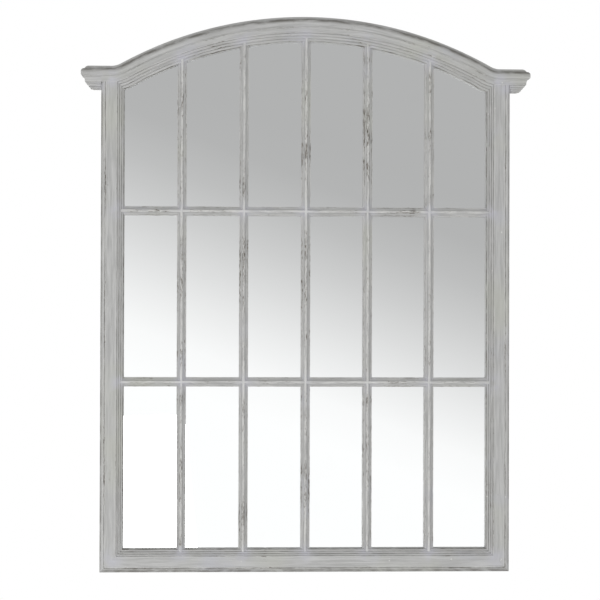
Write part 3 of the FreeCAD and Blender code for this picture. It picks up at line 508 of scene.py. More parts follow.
@dataclass
class Skin:
    """Mesh built from rings of points, with the values that the paint reads."""

    name: str
    wobble: float = 0.16 * MM
    nick: float = 1.3 * MM
    vertices: list[Vector] = field(default_factory=list)
    values: list[tuple[float, ...]] = field(default_factory=list)
    faces: list[tuple[int, ...]] = field(default_factory=list)

    def tube(self, rings: Sequence[Sequence[Vector]], spots: Sequence[Spot],
             lengths: Sequence[float]) -> None:
        """Add a closed tube through rings of points, with a cap on each end.

        Args:
            rings: Rings of points, as many points in each as there are spots.
            spots: The section that the rings follow.
            lengths: How far along the moulding each ring lies.
        """
        base = len(self.vertices)
        count = len(spots)
        for ring, along in zip(rings, lengths):
            self.vertices.extend(ring)
            for spot, place in zip(spots, ring):
                self.values.append((along, spot.across, spot.ridge, spot.hollow, spot.steep,
                                    joint_nearness(place)))
        for row in range(len(rings) - 1):
            for column in range(count):
                following = (column + 1) % count
                lower, upper = base + row * count, base + (row + 1) * count
                self.faces.append((lower + column, lower + following, upper + following, upper + column))
        self.faces.append(tuple(range(base, base + count)))
        last = base + (len(rings) - 1) * count
        self.faces.append(tuple(range(last, last + count)))

    def _weathered(self, place: Vector, normal: Vector, ridge: float) -> Vector:
        """Move a point as hand work and wear would.

        Args:
            place: The point.
            normal: Outward direction there.
            ridge: How exposed the point is.

        Returns:
            The moved point.
        """
        swell = noise.noise(place * FINE_SWELL) * 0.5 + noise.noise(place * BROAD_SWELL + SWELL_SHIFT) * 0.5
        dent = max(0.0, noise.noise(place * DENTS + DENT_SHIFT) - DENT_FLOOR) * ridge
        return place + normal * (swell * self.wobble - dent * self.nick)

    def build(self) -> bpy.types.Object:
        """Make the object from the rings added so far.

        Returns:
            The new object.
        """
        work = bmesh.new()
        layers = [work.verts.layers.float.new(name) for name in PAINT_VALUES]
        corners = []
        for place, values in zip(self.vertices, self.values):
            corner = work.verts.new(place)
            for layer, number in zip(layers, values):
                corner[layer] = number
            corners.append(corner)
        for indices in self.faces:
            work.faces.new([corners[index] for index in indices])
        return self._finished(work)

    def adopt(self, mesh: bpy.types.Mesh) -> bpy.types.Object:
        """Make the object from a mesh that already carries all the values but the joints.

        Args:
            mesh: The mesh.

        Returns:
            The new object.
        """
        work = bmesh.new()
        work.from_mesh(mesh)
        joint = work.verts.layers.float.new("joint")
        for corner in work.verts:
            corner[joint] = joint_nearness(corner.co)
        return self._finished(work)

    def _finished(self, work: bmesh.types.BMesh) -> bpy.types.Object:
        """Close, turn outwards, weather and smooth a mesh, and put it in an object.

        Args:
            work: The mesh being edited, which is freed.

        Returns:
            The new object.
        """
        mesh = bpy.data.meshes.new(self.name)
        bmesh.ops.remove_doubles(work, verts=work.verts, dist=WELD)
        bmesh.ops.dissolve_degenerate(work, edges=work.edges, dist=SLIVER)
        bmesh.ops.recalc_face_normals(work, faces=work.faces)
        if work.calc_volume(signed=True) < 0:
            bmesh.ops.reverse_faces(work, faces=work.faces)
        work.normal_update()
        ridge = work.verts.layers.float["ridge"]
        moved = [self._weathered(corner.co, corner.normal, corner[ridge]) for corner in work.verts]
        for corner, place in zip(work.verts, moved):
            corner.co = place
        work.normal_update()
        shade(work, SHARP_EDGE)
        work.to_mesh(mesh)
        work.free()
        return linked(self.name, mesh)


def front_y(projection: float) -> float:
    """Y of a projection from the back of the frame."""
    return -(PLAN.stand_off + projection)


def spaced(length: float, step: float) -> list[float]:
    """Even shares from 0 to 1 for a length cut into steps.

    Args:
        length: Length to divide.
        step: Longest step.

    Returns:
        The shares.
    """
    pieces = max(1, math.ceil(length / step))
    return [index / pieces for index in range(pieces + 1)]


class Graph:
    """Short ways to add nodes to a tree."""

    def __init__(self, tree: bpy.types.NodeTree) -> None:
        """Keep the tree.

        Args:
            tree: Tree that the nodes go into.
        """
        self.tree = tree

    def add(self, kind: str, **settings: object) -> bpy.types.Node:
        """Add a node and set its properties.

        Args:
            kind: Node type.
            settings: Properties of the node.

        Returns:
            The node.
        """
        node = self.tree.nodes.new(kind)
        for name, setting in settings.items():
            setattr(node, name, setting)
        return node

    def feed(self, socket: bpy.types.NodeSocket, source: object) -> None:
        """Link a socket into another, or set its value.

        Args:
            socket: Input socket.
            source: Output socket, number or colour.
        """
        if isinstance(source, bpy.types.NodeSocket):
            self.tree.links.new(source, socket)
        elif isinstance(source, tuple) and len(source) == 3 and len(socket.default_value) == 4:
            socket.default_value = (*source, 1.0)
        else:
            socket.default_value = source

    def math(self, operation: str, first: object, second: object = 0.0, clamp: bool = False,
             third: object = 0.0) -> bpy.types.NodeSocket:
        """Add a sum.

        Args:
            operation: Name of the operation.
            first: First value.
            second: Second value.
            clamp: Whether the result is kept from 0 to 1.
            third: Third value, where the operation has one.

        Returns:
            The result.
        """
        node = self.add("ShaderNodeMath", operation=operation, use_clamp=clamp)
        for socket, source in zip(node.inputs, (first, second, third)):
            self.feed(socket, source)
        return node.outputs[0]

    def times(self, first: object, second: object, clamp: bool = False) -> bpy.types.NodeSocket:
        """Product of two values."""
        return self.math("MULTIPLY", first, second, clamp)

    def plus(self, first: object, second: object) -> bpy.types.NodeSocket:
        """Sum of two values."""
        return self.math("ADD", first, second)

    def less(self, first: object, second: object) -> bpy.types.NodeSocket:
        """First value less the second."""
        return self.math("SUBTRACT", first, second)

    def bump(self, shader: bpy.types.Node, height: object, strength: float, distance: float) -> None:
        """Feed a fine relief to a shader's normal.

        Args:
            shader: Shader whose normal is fed.
            height: Height of the relief.
            strength: Strength of the relief.
            distance: Depth of the relief.
        """
        relief = self.add("ShaderNodeBump")
        relief.inputs["Strength"].default_value = strength
        relief.inputs["Distance"].default_value = distance
        self.feed(relief.inputs["Height"], height)
        self.feed(shader.inputs["Normal"], relief.outputs["Normal"])

    def span(self, value: object, low: float, high: float, to_low: float = 0.0,
             to_high: float = 1.0) -> bpy.types.NodeSocket:
        """Turn one range into another, smoothly and within its ends.

        Args:
            value: Value to turn.
            low: Where the first range starts.
            high: Where the first range ends.
            to_low: What the start becomes.
            to_high: What the end becomes.

        Returns:
            The result.
        """
        node = self.add("ShaderNodeMapRange", interpolation_type="SMOOTHSTEP")
        for socket, source in zip(node.inputs, (value, low, high, to_low, to_high)):
            self.feed(socket, source)
        return node.outputs[0]

    def blend(self, share: object, first: object, second: object) -> bpy.types.NodeSocket:
        """Mix two colours.

        Args:
            share: Share of the second.
            first: First colour.
            second: Second colour.

        Returns:
            The mixed colour.
        """
        node = self.add("ShaderNodeMix", data_type="RGBA")
        self.feed(node.inputs[0], share)
        self.feed(node.inputs[6], first)
        self.feed(node.inputs[7], second)
        return node.outputs[2]

    def stretched(self, vector: object, scales: tuple[float, float, float],
                  shift: float = 0.0) -> bpy.types.NodeSocket:
        """Scale and shift a vector.

        Args:
            vector: Vector to scale.
            scales: Scale along each axis.
            shift: Shift along every axis, so that patterns differ.

        Returns:
            The scaled vector.
        """
        node = self.add("ShaderNodeVectorMath", operation="MULTIPLY_ADD")
        self.feed(node.inputs[0], vector)
        node.inputs[1].default_value = scales
        node.inputs[2].default_value = (shift, shift * 0.7, shift * 1.3)
        return node.outputs[0]

    def cloud(self, vector: object, detail: float = 2.0, roughness: float = 0.5,
              warp: float = 0.0) -> bpy.types.NodeSocket:
        """Add smooth noise, one cell for each unit of the vector.

        Args:
            vector: Where the noise is read.
            detail: How many finer layers it has.
            roughness: How strong those layers are.
            warp: How much it is distorted.

        Returns:
            The noise, about 0.5 on average.
        """
        node = self.add("ShaderNodeTexNoise")
        self.feed(node.inputs["Vector"], vector)
        node.inputs["Scale"].default_value = 1.0
        node.inputs["Detail"].default_value = detail
        node.inputs["Roughness"].default_value = roughness
        node.inputs["Distortion"].default_value = warp
        return node.outputs["Fac"]


def new_group(name: str, inputs: Iterable[tuple[str, str, object]],
              outputs: Iterable[tuple[str, str]]) -> tuple[Graph, bpy.types.Node, bpy.types.Node]:
    """Start a shader node group.

    Args:
        name: Name of the group.
        inputs: Name, socket type and default of each input.
        outputs: Name and socket type of each output.

    Returns:
        The group's graph, its input node and its output node.
    """
    tree = bpy.data.node_groups.new(name, "ShaderNodeTree")
    for label, kind, default in inputs:
        socket = tree.interface.new_socket(label, in_out="INPUT", socket_type=kind)
        socket.default_value = default
    for label, kind in outputs:
        tree.interface.new_socket(label, in_out="OUTPUT", socket_type=kind)
    graph = Graph(tree)
    return graph, graph.add("NodeGroupInput"), graph.add("NodeGroupOutput")


class GrowthTree:
    """Geometry tree that is run once: what it makes is kept as a plain mesh."""

    def __init__(self, name: str, inputs: Iterable[tuple[str, str]]) -> None:
        """Start the tree.

        Args:
            name: Name of the tree.
            inputs: Name and socket type of each size.
        """
        self.tree = bpy.data.node_groups.new(name, "GeometryNodeTree")
        self.tree.interface.new_socket("Geometry", in_out="INPUT", socket_type="NodeSocketGeometry")
        for label, kind in inputs:
            self.tree.interface.new_socket(label, in_out="INPUT", socket_type=kind)
        self.tree.interface.new_socket("Geometry", in_out="OUTPUT", socket_type="NodeSocketGeometry")
        self.graph = Graph(self.tree)
        self.given = self.graph.add("NodeGroupInput").outputs

    def node(self, kind: str, sources: dict[str, object], **settings: object) -> bpy.types.NodeSocket:
        """Add a node and feed it.

        Args:
            kind: Node type.
            sources: What goes into each named input.
            settings: Properties of the node.

        Returns:
            The node's first output.
        """
        node = self.graph.add(kind, **settings)
        for label, source in sources.items():
            self.graph.feed(node.inputs[label], source)
        return node.outputs[0]

    def vector(self, x: object, y: object, z: object) -> bpy.types.NodeSocket:
        """Join three numbers into a vector.

        Args:
            x: First number.
            y: Second number.
            z: Third number.

        Returns:
            The vector.
        """
        return self.node("ShaderNodeCombineXYZ", {"X": x, "Y": y, "Z": z})

    def named(self, word: str) -> bpy.types.NodeSocket:
        """Read a number that the points carry.

        Args:
            word: Name of the attribute.

        Returns:
            The number.
        """
        return self.node("GeometryNodeInputNamedAttribute", {"Name": word}, data_type="FLOAT")

    def stored(self, geometry: bpy.types.NodeSocket, word: str, number: object) -> bpy.types.NodeSocket:
        """Give every point a number.

        Args:
            geometry: Geometry with the points.
            word: Name of the attribute.
            number: What it holds.

        Returns:
            The geometry with the numbers.
        """
        return self.node("GeometryNodeStoreNamedAttribute",
                         {"Geometry": geometry, "Name": word, "Value": number},
                         data_type="FLOAT", domain="POINT")

    def scatter(self, item: bpy.types.NodeSocket, tilt: float) -> bpy.types.NodeSocket:
        """Put a copy of an item on every starting point, turned by the point's "turn".

        Args:
            item: The item's geometry.
            tilt: Turn about X, the same for every copy.

        Returns:
            The copies.
        """
        turn = self.vector(tilt, self.named("turn"), 0.0)
        return self.node("GeometryNodeInstanceOnPoints",
                         {"Points": self.given["Geometry"], "Instance": item, "Rotation": turn})

    def end(self, geometry: bpy.types.NodeSocket, material: bpy.types.Material) -> None:
        """Finish the tree.

        Args:
            geometry: What the tree makes.
            material: Material of it all.
        """
        real = self.node("GeometryNodeRealizeInstances", {"Geometry": geometry})
        painted = self.node("GeometryNodeSetMaterial", {"Geometry": real, "Material": material})
        self.graph.feed(self.graph.add("NodeGroupOutput").inputs[0], painted)

    def grow(self, start: bpy.types.Mesh, sizes: dict[str, object]) -> bpy.types.Mesh:
        """Run the tree.

        Args:
            start: Mesh that goes in.
            sizes: Value of each named input.

        Returns:
            The plain mesh that comes out.
        """
        holder = linked("growing", start)
        modifier = holder.modifiers.new("grow", "NODES")
        modifier.node_group = self.tree
        for item in self.tree.interface.items_tree:
            if item.in_out == "INPUT" and item.name in sizes:
                modifier[item.identifier] = sizes[item.name]
        shown = holder.evaluated_get(bpy.context.evaluated_depsgraph_get())
        mesh = bpy.data.meshes.new_from_object(shown)
        holder.modifiers.clear()
        bpy.data.objects.remove(holder)
        return mesh


def carried_points(name: str, places: Sequence[Vector], values: dict[str, Sequence[float]],
                   closed: bool = False) -> bpy.types.Mesh:
    """Make a mesh of points that carry numbers.

    Args:
        name: Name of the mesh.
        places: The points.
        values: Numbers of the points, by name.
        closed: Whether edges join the points in a ring.

    Returns:
        The mesh.
    """
    count = len(places)
    ring = [(index, (index + 1) % count) for index in range(count)] if closed else []
    mesh = bpy.data.meshes.new(name)
    mesh.from_pydata([tuple(place) for place in places], ring, [])
    for word, numbers in values.items():
        layer = mesh.attributes.new(word, "FLOAT", "POINT")
        layer.data.foreach_set("value", list(numbers))
    return mesh


@dataclass(frozen=True)
class PaintTones:
    """Colours in the distressed paint and of the wood behind it."""

    shade: Colour = srgb(170, 170, 169)
    light: Colour = srgb(196, 196, 195)
    streak: Colour = srgb(160, 160, 157)
    warm: Colour = srgb(184, 185, 176)
    cool: Colour = srgb(185, 186, 192)
    touched: Colour = srgb(190, 190, 198)
    # Dark glaze, which also serves as painted shade in hollows and on steep sides.
    glaze: Colour = srgb(112, 110, 105)
    # Pale paint on ridges and crests: burnished wear, and a painted highlight.
    highlight_and_burnish: Colour = srgb(216, 216, 213)
    rubbed: Colour = srgb(116, 110, 102)
    bared: Colour = srgb(78, 72, 65)
    chip: Colour = srgb(224, 224, 220)
    pale_wood: Colour = srgb(196, 168, 128)
    dark_wood: Colour = srgb(158, 124, 84)


TONES = PaintTones()


class PaintGroup:
    """Node group of the grey paint: brush streaks, glaze and painted shade in the hollows, wear and painted
    highlight along the edges.
    """

    NAME = "distressed paint"
    # Cells of each pattern in a metre, by axis; those with a last 0 run along and across the moulding.
    PATCHES = (26, 26, 26)
    BROAD_STREAKS = (9, 170, 0)
    BRUSH_HAIRS = (24, 1500, 0)
    WARM_CLOUDS = (6, 6, 5)
    COOL_CLOUDS = (7, 7, 7)
    GLAZE_AND_SHADE_BLOTCHES = (26, 80, 0)
    HIGHLIGHT_BREAKUP = (30, 260, 0)
    WORN_AREAS = (14, 14, 10)
    FLECKS = (75, 520, 0)
    CHIPS = (95, 95, 70)
    WOOD_GRAIN = (14, 420, 0)

    def __init__(self) -> None:
        """Build the group once."""
        graph, given, out = new_group(self.NAME, [
            *((word.capitalize(), "NodeSocketFloat", 0.0) for word in PAINT_VALUES),
            ("Wear", "NodeSocketFloat", 0.5), ("Glaze", "NodeSocketFloat", 0.5),
        ], (("Colour", "NodeSocketColor"), ("Roughness", "NodeSocketFloat"), ("Height", "NodeSocketFloat")))
        place = graph.add("ShaderNodeTexCoord").outputs["Object"]
        joined = graph.add("ShaderNodeCombineXYZ")
        graph.feed(joined.inputs[0], given.outputs["Along"])
        graph.feed(joined.inputs[1], given.outputs["Across"])
        flow = joined.outputs[0]
        ridge, hollow = given.outputs["Ridge"], given.outputs["Hollow"]
        patchy = graph.cloud(graph.stretched(place, self.PATCHES, 7.7), 2.0, 0.5)
        touched = graph.times(given.outputs["Joint"], graph.span(patchy, 0.3, 0.6))

        broad = graph.cloud(graph.stretched(flow, self.BROAD_STREAKS, 3.1), 3.0, 0.55, 0.6)
        brush = graph.cloud(graph.stretched(flow, self.BRUSH_HAIRS, 9.7), 2.0, 0.6)
        colour = graph.blend(graph.span(broad, 0.28, 0.72), TONES.shade, TONES.light)
        colour = graph.blend(graph.span(brush, 0.35, 0.8, 0.0, 0.4), colour, TONES.streak)
        warm = graph.cloud(graph.stretched(place, self.WARM_CLOUDS, 11.0), 2.0, 0.5)
        colour = graph.blend(graph.span(warm, 0.5, 0.72, 0.0, 0.6), colour, TONES.warm)
        cool = graph.cloud(graph.stretched(place, self.COOL_CLOUDS, 27.0), 2.0, 0.5)
        colour = graph.blend(graph.span(cool, 0.58, 0.74, 0.0, 0.6), colour, TONES.cool)
        colour = graph.blend(graph.times(touched, 0.75), colour, TONES.touched)

        # Glaze in the hollows, partly real antique glaze and partly painted shade; steep sides and the shade
        # bands darken too.
        settle = graph.cloud(graph.stretched(flow, self.GLAZE_AND_SHADE_BLOTCHES, 5.0), 3.0, 0.6)
        steep = graph.times(given.outputs["Steep"], given.outputs["Steep"])
        glaze_and_shade_mask = graph.plus(graph.times(hollow, 0.75), graph.times(steep, 0.3))
        glaze_and_shade_mask = graph.times(glaze_and_shade_mask, graph.span(settle, 0.3, 0.65, 0.2, 1.1))
        glaze_and_shade_mask = graph.times(glaze_and_shade_mask, graph.less(1.0, graph.times(touched, 0.8)))
        glaze = graph.times(glaze_and_shade_mask, given.outputs["Glaze"], True)
        colour = graph.blend(glaze, colour, TONES.glaze)

        # Painted highlight along ridges and crests, partly pale burnished wear.
        highlight_breakup = graph.cloud(graph.stretched(flow, self.HIGHLIGHT_BREAKUP, 15.0), 3.0, 0.6)
        highlight_and_burnish_share = graph.times(graph.span(ridge, 0.1, 0.9), graph.span(highlight_breakup, 0.35, 0.65))
        colour = graph.blend(graph.times(highlight_and_burnish_share, 0.75), colour, TONES.highlight_and_burnish)

        spread = graph.cloud(graph.stretched(place, self.WORN_AREAS, 40.0), 2.0, 0.5)
        fleck = graph.cloud(graph.stretched(flow, self.FLECKS, 21.0), 4.0, 0.65, 0.4)
        exposed = graph.plus(graph.times(ridge, 0.15), graph.times(hollow, 0.12))
        pressure = graph.plus(fleck, graph.plus(exposed, graph.span(spread, 0.3, 0.8, -0.1, 0.1)))
        pressure = graph.plus(pressure, graph.times(given.outputs["Wear"], 0.12))
        pressure = graph.less(pressure, graph.times(touched, 0.3))
        rubbed = graph.span(pressure, 0.75, 0.83)
        colour = graph.blend(graph.times(rubbed, 0.85), colour, TONES.rubbed)
        deep = graph.span(pressure, 0.84, 0.91)
        colour = graph.blend(deep, colour, TONES.bared)
        chips = graph.cloud(graph.stretched(place, self.CHIPS, 60.0), 2.0, 0.5)
        colour = graph.blend(graph.span(chips, 0.74, 0.78, 0.0, 0.8), colour, TONES.chip)

        behind = graph.add("ShaderNodeSeparateXYZ")
        graph.feed(behind.inputs[0], place)
        bare = graph.span(behind.outputs[1], front_y(1.6 * MM), front_y(0.4 * MM))
        grain = graph.cloud(graph.stretched(flow, self.WOOD_GRAIN, 33.0), 4.0, 0.6, 0.8)
        wood = graph.blend(graph.span(grain, 0.3, 0.7), TONES.pale_wood, TONES.dark_wood)
        colour = graph.blend(bare, colour, wood)

        rough = graph.plus(graph.span(broad, 0.2, 0.8, 0.5, 0.64), graph.times(rubbed, 0.14))
        height = graph.times(brush, 0.35)
        height = graph.less(height, graph.times(rubbed, 0.8))
        height = graph.plus(height, graph.times(broad, 0.4))
        graph.feed(out.inputs["Colour"], colour)
        graph.feed(out.inputs["Roughness"], rough)
        graph.feed(out.inputs["Height"], height)


@dataclass(frozen=True)
class PaintFinish:
    """Distressed paint of one kind of moulding."""

    name: str
    wear: float
    # Strength of the glaze, which also paints shade into hollows and onto steep sides.
    glaze: float

    def material(self) -> bpy.types.Material:
        """Build the material.

        Returns:
            The painted material.
        """
        material, graph, shader = new_material(self.name)
        group = graph.add("ShaderNodeGroup", node_tree=bpy.data.node_groups[PaintGroup.NAME])
        for word in PAINT_VALUES:
            reader = graph.add("ShaderNodeAttribute", attribute_name=word)
            graph.feed(group.inputs[word.capitalize()], reader.outputs["Fac"])
        group.inputs["Wear"].default_value = self.wear
        group.inputs["Glaze"].default_value = self.glaze
        graph.bump(shader, group.outputs["Height"], 0.45, 0.25 * MM)
        graph.feed(shader.inputs["Base Color"], group.outputs["Colour"])
        graph.feed(shader.inputs["Roughness"], group.outputs["Roughness"])
        shader.inputs["Specular IOR Level"].default_value = 0.3
        return material


def new_material(name: str) -> tuple[bpy.types.Material, Graph, bpy.types.Node]:
    """Start a material.

    Args:
        name: Name of the material.

    Returns:
        The material, its graph and its main shader.
    """
    material = bpy.data.materials.new(name)
    material.use_nodes = True
    graph = Graph(material.node_tree)
    shader = next(node for node in material.node_tree.nodes if node.type == "BSDF_PRINCIPLED")
    return material, graph, shader


@dataclass(frozen=True)
class MirrorFinish:
    """Silvered glass, hardly smeared."""

    name: str = "silvered glass"
    tint: Colour = (0.93, 0.94, 0.94)

    def material(self) -> bpy.types.Material:
        """Build the material.

        Returns:
            The mirror material.
        """
        material, graph, shader = new_material(self.name)
        place = graph.add("ShaderNodeTexCoord").outputs["Object"]
        smear = graph.cloud(graph.stretched(place, (9, 9, 14), 2.0), 4.0, 0.6, 0.5)
        graph.feed(shader.inputs["Roughness"], graph.span(smear, 0.35, 0.8, 0.0, 0.02))
        cloudy = graph.blend(graph.span(smear, 0.55, 0.85, 0.0, 0.25), self.tint, (0.9, 0.91, 0.91))
        graph.feed(shader.inputs["Base Color"], cloudy)
        shader.inputs["Metallic"].default_value = 1.0
        return material


@dataclass(frozen=True)
class PlainFinish:
    """Finish with two colours mixed by stretched noise, and a fine bump."""

    name: str
    light: Colour
    dark: Colour
    scales: tuple[float, float, float]
    roughness: float
    relief: float
    metallic: float = 0.0

    def material(self) -> bpy.types.Material:
        """Build the material.

        Returns:
            The material.
        """
        material, graph, shader = new_material(self.name)
        place = graph.add("ShaderNodeTexCoord").outputs["Object"]
        coarse = graph.cloud(graph.stretched(place, self.scales, 1.0), 5.0, 0.65, 0.3)
        fine = graph.cloud(graph.stretched(place, tuple(4 * scale for scale in self.scales), 8.0), 3.0, 0.6)
        mixed = graph.plus(graph.times(coarse, 0.6), graph.times(fine, 0.4))
        colour = graph.blend(graph.span(mixed, 0.35, 0.65), self.dark, self.light)
        graph.feed(shader.inputs["Base Color"], colour)
        graph.feed(shader.inputs["Roughness"],
                   graph.span(mixed, 0.3, 0.7, self.roughness - 0.08, self.roughness + 0.08))
        graph.bump(shader, mixed, 0.5, self.relief)
        shader.inputs["Metallic"].default_value = self.metallic
        return material


FIBREBOARD = PlainFinish("fibreboard", srgb(150, 116, 80), srgb(118, 86, 55), (160, 160, 160), 0.75,
                         0.1 * MM)
BARE_WOOD = PlainFinish("planed wood", TONES.pale_wood, TONES.dark_wood, (60, 60, 500), 0.65, 0.1 * MM)
ZINC = PlainFinish("zinc plate", srgb(190, 191, 190), srgb(158, 160, 162), (420, 420, 420), 0.38,
                   0.02 * MM, 1.0)
STAPLE_WIRE = PlainFinish("staple wire", srgb(184, 182, 176), srgb(140, 136, 128), (700, 700, 700), 0.42,
                          0.02 * MM, 1.0)
SCREW_STEEL = PlainFinish("screw steel", srgb(198, 192, 170), srgb(160, 152, 128), (600, 600, 600), 0.34,
                          0.02 * MM, 1.0)
FELT = PlainFinish("pressed felt", srgb(84, 82, 79), srgb(58, 56, 54), (900, 900, 900), 0.95, 0.3 * MM)


def settle(piece: bpy.types.Object, slot: str, material: bpy.types.Material, nodes: Sequence[str],
           body: str = "frame") -> None:
    """Finish a piece: its material, the body it rides on and the nodes it stands for.

    Args:
        piece: The piece.
        slot: Material slot of the record; not used.
        material: The piece's material.
        nodes: Nodes that it replaces.
        body: Body that it rides on.
    """
    piece.data.materials.clear()
    piece.data.materials.append(material)
    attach(piece, body)
    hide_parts(*nodes)
    LOG.info("%s stands for %s", piece.name, ", ".join(nodes))


@dataclass
class Frame:
    """Stiles and bottom rail, mitred at the bottom corners."""

    station: float = 5.0 * MM
    under_block: float = 40 * MM
    right_offset: float = 3.0
    bottom_offset: float = 6.0
    seat_offset: float = 8.0
    paint: PaintFinish = PaintFinish("frame paint", 0.35, 0.95)

    def _stile(self, side: Side) -> bpy.types.Object:
        """Build one stile.

        Args:
            side: Which stile.

        Returns:
            The stile.
        """
        plan = PLAN
        # Painted shade along the outer bead, and on the lip at the sight edge.
        spots = rail_section(1.1).spots()
        skin = Skin(f"painted_stile_{side.word}")
        corner_level = plan.hollow_level(plan.sight_side, plan.head_width)
        mitre_level = plan.hollow_level(plan.mitre_x, plan.face_end)

        def top(spot: Spot) -> float:
            """Level at which a line of the section ends.

            Args:
                spot: Spot of the stile's section.

            Returns:
                The level.
            """
            if spot.depth < plan.face_end + 0.01 * MM and (
                    spot.projection > 40.7 * MM or spot.depth < plan.face_end - 0.6 * MM):
                return plan.ear_level - self.under_block
            share = (spot.depth - plan.face_end) / (plan.rail_width - plan.face_end)
            return mitre_level + share * (corner_level - mitre_level)

        def foot(spot: Spot) -> float:
            """Level at which a line of the section starts, on the mitre."""
            return spot.depth - plan.top

        height = plan.top + plan.ear_level
        offset = self.right_offset if side is Side.RIGHT else 0.0
        shares = spaced(height, self.station)
        rings = [[Vector((side.value * (plan.side - spot.depth), front_y(spot.projection),
                          foot(spot) + share * (top(spot) - foot(spot)))) for spot in spots]
                 for share in shares]
        skin.tube(rings, spots, [share * height + offset for share in shares])
        self._stile_top(skin, side)
        return skin.build()

    def _stile_top(self, skin: Skin, side: Side) -> None:
        """Add the top of a stile: the seat of the crown moulding and the cove below it.

        Args:
            skin: Mesh of the stile.
            side: Which stile.
        """
        plan = PLAN
        seat = Section((Corner(0.0, 0.0), Corner(0.0, plan.crown_seat), Corner(26 * MM, plan.crown_seat),
                        Corner(26 * MM, 46.9 * MM), *head_cove(), Corner(plan.face_end, 0.0)))
        spots = seat.spots()
        columns = [plan.side - 0.02 * MM - 2.5 * MM * index for index in range(11)]
        columns += [plan.ogee_x + share * (plan.mitre_x - plan.ogee_x)
                    for share in (0.0, 0.25, 0.5, 0.75, 1.0)]
        rings = []
        for across in columns:
            ring = []
            for spot in spots:
                held = spot.depth < plan.crown_width - 0.2 * MM and across < plan.ogee_x
                level = plan.hollow_level(across, spot.depth) if held else plan.ear_level - spot.depth
                ring.append(Vector((side.value * across, front_y(spot.projection), level)))
            rings.append(ring)
        skin.tube(rings, spots, [self.seat_offset + plan.side - across for across in columns])

    def _bottom(self) -> bpy.types.Object:
        """Build the bottom rail.

        Returns:
            The rail.
        """
        plan = PLAN
        # Painted shade 5 mm in from the outer edge, and on the lip at the sight edge.
        spots = rail_section(1.0, 5 * MM).spots()
        skin = Skin("painted_bottom_rail")
        shares = spaced(2 * plan.side, self.station)
        rings = [[Vector(((2 * share - 1) * (plan.side - spot.depth), front_y(spot.projection),
                          spot.depth - plan.top)) for spot in spots] for share in shares]
        skin.tube(rings, spots, [share * 2 * plan.side + self.bottom_offset for share in shares])
        return skin.build()

    def build(self) -> None:
        """Build and dress the stiles and the bottom rail."""
        material = self.paint.material()
        for side in Side:
            settle(self._stile(side), "painted_wood", material, [f"stile_{side.word}"])
        settle(self._bottom(), "painted_wood", material, ["bottom_rail"])


